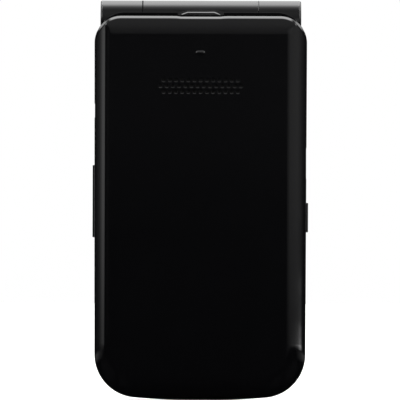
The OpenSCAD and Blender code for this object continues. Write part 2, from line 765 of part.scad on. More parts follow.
// The caps that close the two ends of the barrel.
module knuckle_caps() color([0.05, 0.05, 0.05]) {
    for (s = [-1, 1]) translate([s * (barrel_end + touch), hinge_y, hinge_z])
        rotate([0, s * 90, 0]) {
            cylinder(r = barrel_r, h = cap_t - 0.3);
            translate([0, 0, cap_t - 0.3]) cylinder(r1 = barrel_r, r2 = barrel_r - 0.3, h = 0.3);
        }
    on_axis(cable_bore_r - touch, -barrel_end - touch - eps, -barrel_end + 0.5);
    on_axis(cartridge_d / 2 - touch, barrel_end - 0.5, barrel_end + touch + eps);
}

// ---- Lid ----------------------------------------------------------------------------------

module lid_outer_cover() color([0.03, 0.03, 0.03]) difference() {
    union() {
        difference() {
            front_form(0, y_shell);
            front_form(wall, y_shell - eps, cavity_top + wall);
            on_axis(swing_r, centre_x0 - eps, centre_x1 + eps);
        }
        rounded_slab(outer_window_w + 2, outer_window_h + 2, 4, y_ledge, y_front - wall + eps,
            0, outer_window_z);
        at_lid_screws() peg_y(lid_boss_r, y_shell, y_front - wall + eps);
        on_axis(barrel_r, -barrel_end, centre_x0 - knuckle_gap / 2);
        on_axis(barrel_r, centre_x1 + knuckle_gap / 2, barrel_end);
    }
    rounded_slab(outer_window_w, outer_window_h, 3, y_glass, y_front + 1, 0, outer_window_z);
    rounded_slab(outer_window_w - 2 * window_frame, outer_window_h - 2 * window_frame, 1.5,
        y_ledge - 1, y_front, 0, outer_window_z);
    at_lid_screws() peg_y(lid_screw_r + eps, y_shell - 1, y_shell + 4);
    // Bores of the knuckles, and the way from the cable knuckle into the lid.
    on_axis(sleeve_d / 2 + run_clear, sleeve_x1 - sleeve_l - 0.2, centre_x0);
    on_axis(cable_bore_r, -barrel_end - 1, sleeve_x1 - sleeve_l - 0.1);
    slab(flex_w + 0.6, 9, tail_y - 0.3, tail_y + 0.5, tail_x, hinge_z - 6.2);
    on_axis(cartridge_d / 2 + press_clear, centre_x1, barrel_end + 1);
}

module lid_inner_cover() color([0.05, 0.05, 0.055]) difference() {
    along_y(y_lid, y_lid + inner_cover_t) outline(chassis_w, lid_top, 0);
    on_axis(swing_r, -phone_w, phone_w);
    rounded_slab(screen_w + 2 * touch, screen_h + 2 * touch, 2, y_lid - 1,
        y_lid + screen_glass_t + touch, 0, screen_z);
    rounded_slab(screen_w - 2 * screen_frame, screen_h - 3 * screen_frame, 0.5, y_lid - 1,
        y_lid + 2, 0, screen_z);
    for (x = [-3, 0, 3]) rounded_slab(2.2, 1, 0.45, y_lid - 1, y_lid + 2, x, earpiece_z);
    at_lid_screws() {
        peg_y(bumper_r + touch, y_lid - 1, y_lid + 0.4);
        peg_y(lid_screw_head_r + touch, y_lid - 1, y_lid + 0.85);
        peg_y(lid_screw_r + touch, y_lid - 1, y_lid + 2);
    }
}

module outer_window() color([0.1, 0.1, 0.12])
    rounded_slab(outer_window_w - 2 * touch, outer_window_h - 2 * touch, 3 - touch, y_glass,
        y_glass + outer_glass_t, 0, outer_window_z);

module main_window() color([0.1, 0.1, 0.12])
    rounded_slab(screen_w, screen_h, 2, y_lid + touch, y_lid + screen_glass_t + touch, 0,
        screen_z);

module outer_display() color([0.3, 0.32, 0.35])
    slab(outer_display_w, outer_display_h, y_outer_display, y_ledge - 0.1, 0,
        outer_display_z);

module main_display() color([0.3, 0.32, 0.35])
    slab(display_w, display_h, y_display, y_display + display_t, 0, screen_z);

module lid_board() color([0.05, 0.25, 0.12]) {
    ear_h = 2.6;
    slab(lid_board_w, lid_board_top - lid_board_z0, y_lid_board, y_lid_board + lid_board_t, 0,
        (lid_board_top + lid_board_z0) / 2);
    slab(flex_w + lid_board_w / 2, ear_h, y_lid_board, y_lid_board + lid_board_t,
        tail_x + lid_board_w / 4, lid_board_top - ear_h / 2);
    slab(flex_w, 1.6, tail_y, y_lid_board + eps, tail_x, lid_board_top - 1);
    slab(flex_w, 8.6, tail_y, tail_y + flex_t, tail_x, lid_board_top + 3.4);
}

module earpiece() color([0.2, 0.2, 0.21]) {
    rounded_slab(12, 6, 2.9, y_display - 0.1, y_display + 2, 0, earpiece_z);
    rounded_slab(9, 4, 1.9, y_display + 1.9, y_display + 2.3, 0, earpiece_z);
}

module camera_module() color([0.12, 0.12, 0.13]) {
    slab(camera_size, camera_size, y_lid_board + lid_board_t, y_ledge, 0, camera_z);
    peg_y(camera_r, y_ledge - eps, y_glass - 0.1, 0, camera_z);
}

module lid_magnet() color([0.7, 0.7, 0.72])
    slab(2.4, 6, y_display - 0.1, y_display + 1.6, inner_half - 2, magnet_z);

module lid_screws() color([0.65, 0.65, 0.68]) at_lid_screws() {
    peg_y(lid_screw_head_r, y_lid + 0.45, y_lid + 0.85);
    peg_y(lid_screw_r, y_lid + 0.85 - eps, y_shell + 2.8);
}

module lid_bumpers() color([0.1, 0.1, 0.1])
    at_lid_screws() peg_y(bumper_r, y_lid + 0.4 - bumper_t, y_lid + 0.4);

// ---- Nodes --------------------------------------------------------------------------------

battery_cover();
rear_housing();
keypad_housing();
keypad_plate();
battery();
battery_connector();
main_board();
shield_cans();
dome_sheet();
key_mat();
loudspeaker();
vibration_motor();
microphone();
usb_port();
audio_jack();
sim_holder();
antenna_carrier();
side_switches();
base_screws();
side_key(-1, rocker_l, rocker_proud, rocker_nub, [-switch_dz, switch_dz], rocker_z);  // volume_rocker
side_key(1, side_button_l, button_proud, button_nub, [0], side_button_z);  // side_button
hinge_sleeve();
hinge_flex();
hinge_cam_shaft();
digit_key(0);  // key_1
digit_key(1);  // key_2
digit_key(2);  // key_3
digit_key(3);  // key_4
digit_key(4);  // key_5
digit_key(5);  // key_6
digit_key(6);  // key_7
digit_key(7);  // key_8
digit_key(8);  // key_9
digit_key(9);  // key_star
digit_key(10);  // key_0
digit_key(11);  // key_hash
corner_key(1, 1);  // soft_key_left
corner_key(-1, 1);  // soft_key_right
corner_key(1, -1);  // call_key
corner_key(-1, -1);  // end_key
aux_key(1);  // speaker_key
aux_key(0);  // clear_key
aux_key(-1);  // camera_key
nav_ring();
ok_key();
lid_outer_cover();
lid_inner_cover();
outer_window();
outer_display();
main_window();
main_display();
lid_board();
earpiece();
camera_module();
lid_magnet();
lid_screws();
lid_bumpers();
hinge_cartridge();
hinge_spring();
knuckle_caps();
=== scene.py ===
# %% [markdown]
# # A closed clamshell telephone in piano-black plastic
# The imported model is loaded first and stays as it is: every piece made here is in metres, in
# the same place as the node it stands for, and rides on that node's body. The steps are the
# view and the light, then the materials, then the pieces from the outside in.

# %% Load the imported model
import math
import bmesh
import bpy
import numpy as np
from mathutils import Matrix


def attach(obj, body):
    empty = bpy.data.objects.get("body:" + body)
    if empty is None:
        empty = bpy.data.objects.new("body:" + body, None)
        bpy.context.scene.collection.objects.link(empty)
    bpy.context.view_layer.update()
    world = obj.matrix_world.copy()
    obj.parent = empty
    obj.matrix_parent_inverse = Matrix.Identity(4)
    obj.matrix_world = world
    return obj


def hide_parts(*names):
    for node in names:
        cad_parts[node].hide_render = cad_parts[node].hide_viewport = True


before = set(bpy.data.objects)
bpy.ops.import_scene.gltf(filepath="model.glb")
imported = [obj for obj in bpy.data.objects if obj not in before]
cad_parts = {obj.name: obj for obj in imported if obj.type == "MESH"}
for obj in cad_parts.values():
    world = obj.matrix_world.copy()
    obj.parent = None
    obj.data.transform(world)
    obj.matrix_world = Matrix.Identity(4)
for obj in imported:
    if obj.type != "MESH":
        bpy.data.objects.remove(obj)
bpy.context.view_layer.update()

scene = bpy.context.scene
scene.view_settings.view_transform = "Standard"
MM = 0.001

# %% [markdown]
# ## The camera
# A product like this is shot from far away with a long lens, so that its sides hardly
# converge. A long lens is chosen over an orthographic camera because the camera can then be
# taken round the telephone and still fill the frame.

# %% Camera
def linked(name, data):
    """A new object for some data, put in the scene."""
    made = bpy.data.objects.new(name, data)
    scene.collection.objects.link(made)
    return made


LENS = 1500         # a very long lens, in millimetres
SENSOR = 36         # width of the camera's sensor, in millimetres
FRAME_MM = 103.5    # width of the view at the cover, in millimetres
COVER_Y = -6.0      # about where the cover stands along Y, in millimetres
AIM_X, AIM_Z = -0.085, 51.78    # where the camera looks, in millimetres
ROLL = -0.18                    # degrees
camera = scene.camera = linked("camera", bpy.data.cameras.new("camera"))
camera.data.lens = LENS
camera.data.sensor_width = SENSOR
camera.data.clip_start = 0.01
camera.location = (AIM_X * MM, (COVER_Y - FRAME_MM * LENS / SENSOR) * MM, AIM_Z * MM)
camera.rotation_euler = (math.radians(90), math.radians(ROLL), 0)
print("camera stands", round(-camera.location.y, 3), "m away")

# %% [markdown]
# ## One helper for every node
# Materials, the world and the geometry trees are all made of nodes. One small function adds
# a node, sets it and links it, and takes a node or a socket wherever a number could stand.

# %% Node helper
def add(tree, kind, inputs=None, stops=None, **settings):
    """A node with its inputs, the stops of its colour ramp, and its other settings."""
    node = tree.nodes.new(kind)
    for key, value in settings.items():
        setattr(node, key, value)
    if stops:
        while len(node.color_ramp.elements) < len(stops):
            node.color_ramp.elements.new(0.5)
        for element, (place, colour) in zip(node.color_ramp.elements, stops):
            element.position = place
            element.color = colour if isinstance(colour, tuple) else (colour,) * 3 + (1,)
    for key, value in (inputs or {}).items():
        if isinstance(value, bpy.types.Node):
            value = next(s for s in value.outputs if s.enabled)
        if isinstance(value, bpy.types.NodeSocket):
            tree.links.new(value, node.inputs[key])
        else:
            node.inputs[key].default_value = value
    return node


def linear(code, alpha=1.0):
    """A hex colour as it is seen, as the linear numbers that a shader works in."""
    parts = [int(code[i:i + 2], 16) / 255 for i in (1, 3, 5)]
    return tuple(c / 12.92 if c <= 0.04045 else ((c + 0.055) / 1.055) ** 2.4
                 for c in parts) + (alpha,)


print("middle grey as a shader has it", [round(c, 3) for c in linear("#808080")])

# %% [markdown]
# ## The studio
# Black gloss shows nothing but what it reflects, so the light is drawn as a room: dark cards
# in front that are a little less dark above the camera, a long box at the left and a softer
# one at the right that both fade below it, a strip that grows brighter over the top, a low
# card on each side that draws the side walls, and round boxes at the diagonals that bring the
# whole to a plain level. Each is a table of brightness against an angle in degrees: the
# azimuth is 0 straight in front and positive to the right.

# %% Tables of the studio's light
LEFT_AND_RIGHT = [(-104, 0), (-100, .06), (-88, .14), (-76, .31), (-66, .8), (-60, 1.25),
                  (-49.5, 1.25), (-48, 0), (-35, 0), (-33, .06), (-29, .06), (-27, 0),
                  (1.0, 0), (2.5, .16), (7, .2), (10, .34), (30, .38), (55, .41), (70, .27),
                  (84, .13), (96, .05), (105, 0)]
SIDES_FADE = [(-2.5, 0), (-1.5, .1), (-.55, .3), (-.48, .42), (-.34, .6), (0, .95), (.5, 1),
              (12, 1), (24, 0)]
DARK_CARDS = [(-2, .008), (-.65, .009), (0, .017), (.25, .044), (2, .05)]
OVER_THE_TOP = [(1.4, 0), (2.6, .10), (5.5, .13), (13, .18), (20, .215), (28, .26), (39.5, .32),
                (51, .34), (58, .3), (65, .34), (71, .48), (77.6, .74), (84.6, 1.3), (92, 2.8),
                (100, 4.7), (108.7, 5.4), (118, 4.5), (130, 3.5), (144, 2.1), (164, .85),
                (175, 0)]
# A narrow lamp low on the right draws the line along the right edge.
LOW_RIGHT = [(10, 0), (43, .7), (60, 2.0), (75, 6.0), (81, 2.4), (88, 0)]
ONLY_LOW = [(-1.5, 0), (-.9, .4), (-.6, 1), (-.54, .8), (-.49, .1), (-.47, 0)]
LOW_SIDES = [(-135, 0), (-112, .3), (-92, .5), (-75, .25), (-50, 0), (50, 0), (75, .25),
             (92, .5), (112, .3), (135, 0)]
BELOW = [(-14, 0), (-9, .8), (-4, 1), (-2.2, .9), (-1.3, 0)]
# Each round box: azimuth and elevation of its middle, its radius in degrees, its brightness.
ROUND_BOXES = [(side * turn, rise, radius, bright) for turn, rise, radius, bright in (
    (44, 31, 16, 4.6), (64, 52, 15, 2.2), (125, 36, 20, 3.2), (125, -40, 16, 0.7),
    (135, -15, 20, .35), (50, -28, 14, .025)) for side in (-1, 1)] + [(180, 8, 26, 1.3)]
EDGE_OF_BOX = 5    # degrees over which a round box fades, on both sides of its radius
print("round boxes", len(ROUND_BOXES))

# %% [markdown]
# ## The world that shows it
# All of the studio is one world shader that reads the direction of a ray. Rays that come
# straight from the camera see plain white instead. The panes have black ink behind them, so
# no ray passes through one to the background.

# %% Studio world
STRIP_FULL, STRIP_GONE = 0.24, 0.34    # half width of the strip, as a share of a ray's length


def sweep(tree, angle, low, high, stops):
    """Brightness along an angle in degrees, from its table of stops."""
    peak = max(v for a, v in stops)
    place = add(tree, "ShaderNodeMapRange", {
        "Value": angle, "From Min": math.radians(low), "From Max": math.radians(high)})
    ramp = add(tree, "ShaderNodeValToRGB", {"Fac": place}, stops=[
        ((a - low) / (high - low), v / peak) for a, v in stops])
    return add(tree, "ShaderNodeMath", {0: ramp, 1: peak}, operation="MULTIPLY")


world = scene.world = bpy.data.worlds.new("studio")
world.use_nodes = True
tree = world.node_tree
tree.nodes.clear()
ray = add(tree, "ShaderNodeTexCoord").outputs["Generated"]
axes = add(tree, "ShaderNodeSeparateXYZ", {0: ray}).outputs
front = add(tree, "ShaderNodeMath", {0: axes["Y"], 1: -1.0}, operation="MULTIPLY")
azimuth = add(tree, "ShaderNodeMath", {0: axes["X"], 1: front}, operation="ARCTAN2")
height = add(tree, "ShaderNodeMath", {0: axes["Z"]}, operation="ARCSINE")
over = add(tree, "ShaderNodeMath", {0: axes["Z"], 1: front}, operation="ARCTAN2")
sides = sweep(tree, azimuth, -180, 180, LEFT_AND_RIGHT)
band = sweep(tree, height, -10, 30, SIDES_FADE)
cards = sweep(tree, height, -2, 2, DARK_CARDS)
corner = sweep(tree, azimuth, 0, 100, LOW_RIGHT)
low = sweep(tree, height, -2, 2, ONLY_LOW)
wings = sweep(tree, azimuth, -180, 180, LOW_SIDES)
below = sweep(tree, height, -16, 0, BELOW)
strip = sweep(tree, over, 0, 180, OVER_THE_TOP)
width = add(tree, "ShaderNodeMath", {0: axes["X"]}, operation="ABSOLUTE")
narrow = add(tree, "ShaderNodeMapRange", {
    "Value": width, "From Min": STRIP_FULL, "From Max": STRIP_GONE, "To Min": 1.0,
    "To Max": 0.0})
total = cards
for light, limit in ((sides, band), (strip, narrow), (corner, low), (wings, below)):
    total = add(tree, "ShaderNodeMath", {0: light, 1: limit, 2: total},
                operation="MULTIPLY_ADD")
for turn, rise, radius, bright in ROUND_BOXES:
    turn, rise = math.radians(turn), math.radians(rise)
    middle = (math.sin(turn) * math.cos(rise), -math.cos(turn) * math.cos(rise),
              math.sin(rise))
    near = add(tree, "ShaderNodeVectorMath", {0: ray, 1: middle}, operation="DOT_PRODUCT")
    disc = add(tree, "ShaderNodeMapRange", {
        "Value": near.outputs["Value"],
        "From Min": math.cos(math.radians(radius + EDGE_OF_BOX)),
        "From Max": math.cos(math.radians(radius - EDGE_OF_BOX)), "To Max": bright})
    total = add(tree, "ShaderNodeMath", {0: total, 1: disc}, operation="ADD")
studio = add(tree, "ShaderNodeBackground", {"Color": total})
white = add(tree, "ShaderNodeBackground", {"Color": (1, 1, 1, 1)})
path = add(tree, "ShaderNodeLightPath").outputs
mixed = add(tree, "ShaderNodeMixShader", {0: path["Is Camera Ray"], 1: studio, 2: white})
add(tree, "ShaderNodeOutputWorld", {"Surface": mixed})
print("studio with", len(tree.nodes), "nodes")

# %% [markdown]
# ## The floor
# A pale matt sheet. It glows just enough towards the camera to melt into the white
# background, and still takes the telephone's shadow. Reflections pass it by, as if it were a
# dark table, so the foot of the telephone stays dark.

# %% Floor
def new_material(name):
    """An empty node material, and its tree."""
    material = bpy.data.materials.new(name)
    material.use_nodes = True
    material.node_tree.nodes.clear()
    return material, material.node_tree


HALF_FLOOR = 4    # metres
floor_mesh = bpy.data.meshes.new("floor")
floor_mesh.from_pydata([(x * HALF_FLOOR, y * HALF_FLOOR, 0) for x, y in (
    (-1, -1), (1, -1), (1, 1), (-1, 1))], [], [(0, 1, 2, 3)])
floor = linked("floor", floor_mesh)
paper, tree = new_material("matt_paper_floor")
sheet = add(tree, "ShaderNodeBsdfDiffuse", {"Color": linear("#c8c8c8")})
glow = add(tree, "ShaderNodeEmission", {
    "Color": (0.62, 0.62, 0.62, 1),
    "Strength": add(tree, "ShaderNodeLightPath").outputs["Is Camera Ray"]})
lit = add(tree, "ShaderNodeAddShader", {0: sheet, 1: glow})
add(tree, "ShaderNodeOutputMaterial", {"Surface": lit})
floor_mesh.materials.append(paper)
floor.visible_glossy = False
print("floor ready")

# %% [markdown]
# ## Moulded plastics
# Every shell is injection-moulded ABS. What differs is the mould: a polished one gives the
# piano-black outside, a sparked one gives the satin frame round the keys. One function makes
# them all from a colour, a roughness and the size of the grain in millimetres. The pattern
# comes from Object coordinates, which are metres here, so a grain of g mm needs a noise scale
# of 1000 / g.

# %% Moulded plastic
BLOTCH_MM = 9.0    # size of the faint clouds that any moulding shows


def moulded(name, colour, rough, rough_spread, grain_mm, bump, ior=1.5):
    """A plastic, film, glass or ink, matt to mirror-like."""
    material, tree = new_material(name)
    place = add(tree, "ShaderNodeTexCoord").outputs["Object"]
    blotch = add(tree, "ShaderNodeTexNoise", {
        "Vector": place, "Scale": 1000 / BLOTCH_MM, "Detail": 3.0})
    grain = add(tree, "ShaderNodeTexNoise", {
        "Vector": place, "Scale": 1000 / grain_mm, "Detail": 2.0})
    tint = add(tree, "ShaderNodeValToRGB", {"Fac": blotch.outputs["Fac"]}, stops=[
        (0.3, tuple(0.88 * c for c in linear(colour)[:3]) + (1,)), (0.7, linear(colour))])
    gloss = add(tree, "ShaderNodeMapRange", {
        "Value": blotch.outputs["Fac"], "From Min": 0.3, "From Max": 0.7,
        "To Min": rough - rough_spread, "To Max": rough + rough_spread})
    relief = add(tree, "ShaderNodeBump", {
        "Height": grain.outputs["Fac"], "Distance": bump * MM, "Strength": 1.0})
    shader = add(tree, "ShaderNodeBsdfPrincipled", {
        "Base Color": tint, "Roughness": gloss, "IOR": ior, "Normal": relief})
    add(tree, "ShaderNodeOutputMaterial", {"Surface": shader})
    return material


# Polished black ABS: deep black, mirror-like, with the slight unevenness of a moulded face.
polished_abs = moulded("polished_black_abs", "#050506", 0.035, 0.01, 2.5, 0.0004)
# Black ABS from a finely sparked mould: the same black, with soft reflections.
satin_abs = moulded("satin_black_abs", "#131314", 0.34, 0.04, 0.35, 0.004)
# Black ABS of the frame between the covers: smooth, a little duller than the covers.
smooth_abs = moulded("smooth_black_abs", "#0e0e0f", 0.16, 0.03, 1.2, 0.0008)
# Acrylic-coated polycarbonate of the key tops: dark grey and satin.
keycap_pc = moulded("satin_key_polycarbonate", "#1b1c1e", 0.28, 0.04, 0.5, 0.002)
# Screen-printed ink of the legends: off-white, matt and slightly raised.
legend_ink = moulded("legend_ink", "#d9dadb", 0.5, 0.05, 0.3, 0.001)
# The same ink in green and in red, on the two keys that take and end a call.
green_ink = moulded("green_legend_ink", "#3fae55", 0.5, 0.05, 0.3, 0.001)
red_ink = moulded("red_legend_ink", "#d23a34", 0.5, 0.05, 0.3, 0.001)
# Glass-filled nylon of sockets and carriers: dull black.
nylon = moulded("black_nylon", "#18181a", 0.5, 0.06, 0.4, 0.006)
# Silicone rubber of mats, plugs and bumpers: soft and matt.
silicone = moulded("grey_silicone", "#2c2c2e", 0.62, 0.05, 0.6, 0.004, ior=1.41)
# Polyester film of the dome sheet: pale and faintly milky.
polyester = moulded("milky_polyester_film", "#d4d6d0", 0.22, 0.04, 3.0, 0.001, ior=1.64)
# Polyimide of flexible circuits: amber.
polyimide = moulded("amber_polyimide_film", "#94551c", 0.3, 0.05, 2.0, 0.002, ior=1.6)
# Grey polypropylene film shrunk round the cell of the battery.
cell_film = moulded("grey_polypropylene_film", "#6d7074", 0.33, 0.05, 4.0, 0.004)
# Coated paper of the battery's blank sheet: pale grey with a soft sheen.
paper_label = moulded("coated_paper", "#c9cbc8", 0.45, 0.04, 0.4, 0.002)
print("plastics", len(bpy.data.materials))

# %% [markdown]
# ## Metals
# Shield cans and screws are bare metal. Rolled sheet has fine streaks along one direction,
# which a noise stretched by a Mapping node gives.

# %% Metals
def metal(name, colour, rough, stretch=(1, 1, 1), streak_mm=0.5, bump=0.001):
    """A bare or plated metal with streaks."""
    material, tree = new_material(name)
    place = add(tree, "ShaderNodeTexCoord").outputs["Object"]
    turned = add(tree, "ShaderNodeMapping", {"Vector": place, "Scale": stretch})
    streaks = add(tree, "ShaderNodeTexNoise", {
        "Vector": turned, "Scale": 1000 / streak_mm, "Detail": 4.0})
    gloss = add(tree, "ShaderNodeMapRange", {
        "Value": streaks.outputs["Fac"], "To Min": rough * 0.7, "To Max": rough * 1.4})
    relief = add(tree, "ShaderNodeBump", {
        "Height": streaks.outputs["Fac"], "Distance": bump * MM, "Strength": 1.0})
    tint = add(tree, "ShaderNodeValToRGB", {"Fac": streaks.outputs["Fac"]}, stops=[
        (0.2, tuple(0.8 * c for c in linear(colour)[:3]) + (1,)), (0.8, linear(colour))])
    shader = add(tree, "ShaderNodeBsdfPrincipled", {
        "Base Color": tint, "Metallic": 1.0, "Roughness": gloss, "Normal": relief})
    add(tree, "ShaderNodeOutputMaterial", {"Surface": shader})
    return material


# Tinned steel sheet of the shield cans, rolled along the height.
tinned_steel = metal("rolled_tinned_steel", "#b9bbbd", 0.28, (1, 1, 0.08))
# Zinc-plated steel of screws, shafts and the hinge cartridge.
plated_steel = metal("zinc_plated_steel", "#a7a8aa", 0.24)
# Hard gold over nickel on spring contacts.
gold_plate = metal("gold_plated_contacts", "#d8ad5a", 0.2)
# Vacuum-metallised plastic of the navigation ring: satin silver.
silver_film = metal("satin_metallised_ring", "#b4b6ba", 0.3, streak_mm=0.3, bump=0.0006)
print("metals ready")

# %% [markdown]
# ## Circuit board, display and window
# The board is green solder mask over copper, with tracks as faint lighter lines. The windows
# are tinted acrylic: clear enough to see the panel behind, dark enough to look black while
# it is off. Their rim is printed black on the inside.

# %% Board, panel and window
solder_mask, tree = new_material("green_solder_mask")
place = add(tree, "ShaderNodeTexCoord").outputs["Object"]
turned = add(tree, "ShaderNodeMapping", {
    "Vector": place, "Rotation": (math.radians(90), 0, 0)})
tracks = add(tree, "ShaderNodeTexBrick", {
    "Vector": turned, "Color1": linear("#14532f"), "Color2": linear("#124a2b"),
    "Mortar": linear("#2c7a4a"), "Scale": 1000.0, "Mortar Size": 0.12,
    "Brick Width": 3.1, "Row Height": 0.9})
mask = add(tree, "ShaderNodeBsdfPrincipled", {"Base Color": tracks, "Roughness": 0.32})
add(tree, "ShaderNodeOutputMaterial", {"Surface": mask})

# Liquid-crystal panel, switched off: a dark blue-grey film under glass.
panel_glass = moulded("dark_display_panel", "#14171b", 0.12, 0.02, 5.0, 0.0)
# Active area of a panel: a polariser with a faint violet cast. It is bonded to the glass, so
# it gives no second reflection.
display_film = moulded("dark_polariser_film", "#1d2129", 0.3, 0.02, 8.0, 0.0, ior=1.0)
# Coated glass of the camera's lens: nearly black, mirror-smooth.
lens_glass = moulded("coated_lens_glass", "#0a0c14", 0.02, 0.005, 4.0, 0.0, ior=1.7)
# Black ink printed on the inside of the windows.
window_ink = moulded("black_window_ink", "#050506", 0.4, 0.03, 1.0, 0.0, ior=1.0)
# Acrylic of the windows: smoke-grey, clear and polished.
tinted_acrylic, tree = new_material("tinted_acrylic")
place = add(tree, "ShaderNodeTexCoord").outputs["Object"]
haze = add(tree, "ShaderNodeTexNoise", {"Vector": place, "Scale": 1000 / 6})
gloss = add(tree, "ShaderNodeMapRange", {
    "Value": haze.outputs["Fac"], "To Min": 0.0, "To Max": 0.02})
pane = add(tree, "ShaderNodeBsdfPrincipled", {
    "Base Color": linear("#8f9296"), "Roughness": gloss, "IOR": 1.49,
    "Transmission Weight": 1.0})
add(tree, "ShaderNodeOutputMaterial", {"Surface": pane})
print("materials", len(bpy.data.materials))

# %% [markdown]
# ## Tools for the pieces
# Most pieces are rings of points joined into a skin. The tools here lay out a ring, join
# rings, turn a profile about an axis, and make the result an object.

# %% Mesh tools
def at_depth(points, y):
    """Points (x, z) in millimetres as a ring at one depth, in metres."""
    return [(x * MM, y * MM, z * MM) for x, z in points]


def skin(rings, looped=False):
    """A bmesh from rings with equal numbers of points. A face closes each of its two ends,
    or, if looped, the last ring is joined to the first."""
    bm = bmesh.new()
    rows = [[bm.verts.new(p) for p in ring] for ring in rings]
    for low, high in zip(rows, rows[1:] + rows[:1] if looped else rows[1:]):
        for i in range(len(low)):
            bm.faces.new((low[i - 1], low[i], high[i], high[i - 1]))
    if not looped:
        bm.faces.new(rows[0][::-1])
        bm.faces.new(rows[-1])
    return bm


def to_object(name, bm, material, smooth=True):
    """Turns a bmesh into an object with all faces outwards."""
    bmesh.ops.recalc_face_normals(bm, faces=bm.faces)
    mesh = bpy.data.meshes.new(name)
    bm.to_mesh(mesh)
    bm.free()
    mesh.materials.append(material)
    for face in mesh.polygons:
        face.use_smooth = smooth
    return linked(name, mesh)


def turned_profile(name, profile, sides, centre, material, axis="Y", looped=False):
    """A closed body turned about an axis, from (radius, along) pairs in millimetres."""
    rings = []
    for radius, along in profile:
        ring = []
        for i in range(sides):
            a = 2 * math.pi * i / sides
            u, v = radius * math.cos(a), radius * math.sin(a)
            p = (u, along, v) if axis == "Y" else (along, u, v)
            ring.append(tuple((c + d) * MM for c, d in zip(p, centre)))
        rings.append(ring)
    return to_object(name, skin(rings, looped), material)


print("a ring in metres", at_depth([(1, 2), (3, 4)], 5))

# %% [markdown]
# ## Tools for objects
# The next tools work on whole objects: sharp edges, applied modifiers, cuts and joins. The
# last one hands a finished piece to the frame: what it stands for and the body it rides on.

# %% Object tools
def sharpen(made, degrees):
    """Smooth shading, but with edges left sharp where they turn more than that."""
    made.data.set_sharp_from_angle(angle=math.radians(degrees))
    return made


def baked(made):
    """Applies every modifier, and leaves one plain mesh."""
    graph = bpy.context.evaluated_depsgraph_get()
    graph.update()
    mesh = bpy.data.meshes.new_from_object(made.evaluated_get(graph))
    old = made.data
    made.modifiers.clear()
    made.data = mesh
    mesh.name = made.name
    bpy.data.meshes.remove(old)
    return made


def cut(made, *cutters):
    """Takes closed cutters out of a piece and removes them."""
    for cutter in cutters:
        modifier = made.modifiers.new("cut", "BOOLEAN")
        modifier.object = cutter
        modifier.solver = "EXACT"
        baked(made)
        bpy.data.objects.remove(cutter)
    return made


def joined(name, *parts):
    """Several meshes as one object."""
    bm = bmesh.new()
    materials = []
    for part in parts:
        shift = []
        for material in part.data.materials:
            if material not in materials:
                materials.append(material)
            shift.append(materials.index(material))
        count = len(bm.faces)
        bm.from_mesh(part.data)
        bm.faces.ensure_lookup_table()
        for face in bm.faces[count:]:
            face.material_index = shift[face.material_index] if shift else 0
        bpy.data.objects.remove(part)
    mesh = bpy.data.meshes.new(name)
    bm.to_mesh(mesh)
    bm.free()
    for material in materials:
        mesh.materials.append(material)
    return linked(name, mesh)


def settle(made, body, slot, *nodes, sharp=None):
    """Hands a finished piece to the frame, with edges of more than sharp degrees sharp."""
    if sharp:
        sharpen(made, sharp)
    if nodes:
        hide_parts(*nodes)
    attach(made, body)
    print(made.name, len(made.data.polygons), "faces")


# %% [markdown]
# ## The plan of the shells
# Seen from the back, every shell has the same plan: a straight hinge end with round corners,
# sides that taper a little, large round corners at the foot and a shallow arc between them.
# One function gives that plan at any inset, always with the same number of points, so that
# plans at different insets can be joined.

# %% Plan of the shells
PHONE_W, CHASSIS_W = 55.0, 54.7
COVER_TOP, LID_TOP = 99.7, 93.9
HINGE_R, FOOT_R, ARC_R, TAPER = 7.0, 11.2, 198.0, 0.2
HALF_FLAT = 5    # half the flat that the arc of the foot ends in
ARC_Z = math.sqrt(ARC_R ** 2 - HALF_FLAT ** 2)
TOP_STEPS, CORNER_STEPS, SIDE_STEPS, FOOT_STEPS, ARC_STEPS = 20, 56, 60, 44, 12


def shares(steps):
    """Equal steps up to 1, without the start."""
    return [i / steps for i in range(1, steps + 1)]


def plan(width, top, inset):
    """Points (x, z) in millimetres, clockwise from the middle of the hinge edge."""
    half = width / 2
    cx = half - TAPER - FOOT_R
    cz = ARC_Z - math.sqrt((ARC_R - FOOT_R) ** 2 - cx ** 2)
    turn = math.atan2(ARC_Z - cz, cx)
    right = [((half - HINGE_R) * t, top - inset) for t in [0] + shares(TOP_STEPS)]
    for t in shares(CORNER_STEPS):
        a = math.pi / 2 * (1 - t)
        right.append((half - HINGE_R + (HINGE_R - inset) * math.cos(a),
                      top - HINGE_R + (HINGE_R - inset) * math.sin(a)))
    for t in shares(SIDE_STEPS):
        right.append((half - inset - TAPER * t, top - HINGE_R + (cz - top + HINGE_R) * t))
    for t in shares(FOOT_STEPS):
        right.append((cx + (FOOT_R - inset) * math.cos(-turn * t),
                      cz + (FOOT_R - inset) * math.sin(-turn * t)))
    for t in shares(ARC_STEPS):
        a = -turn - (math.pi / 2 - turn) * t
        right.append(((ARC_R - inset) * math.cos(a),
                      max(ARC_Z + (ARC_R - inset) * math.sin(a), inset)))
    return right + [(-x, z) for x, z in right[-2:0:-1]]


print("plan of", len(plan(PHONE_W, COVER_TOP, 0)), "points")

# %% [markdown]
# ## The rule of the curved bands
# The battery cover is flat in the middle and falls away along its edges: a band of 6 mm
# radius follows the sides and the foot, a wider one crosses the hinge end, and the two meet
# at a soft mitre. The lid follows the same rule with other radii. A Geometry Nodes tree suits
# this best: the plan stays flat, each point knows how far it has run out past the start of
# each band, and the tree works out its depth.

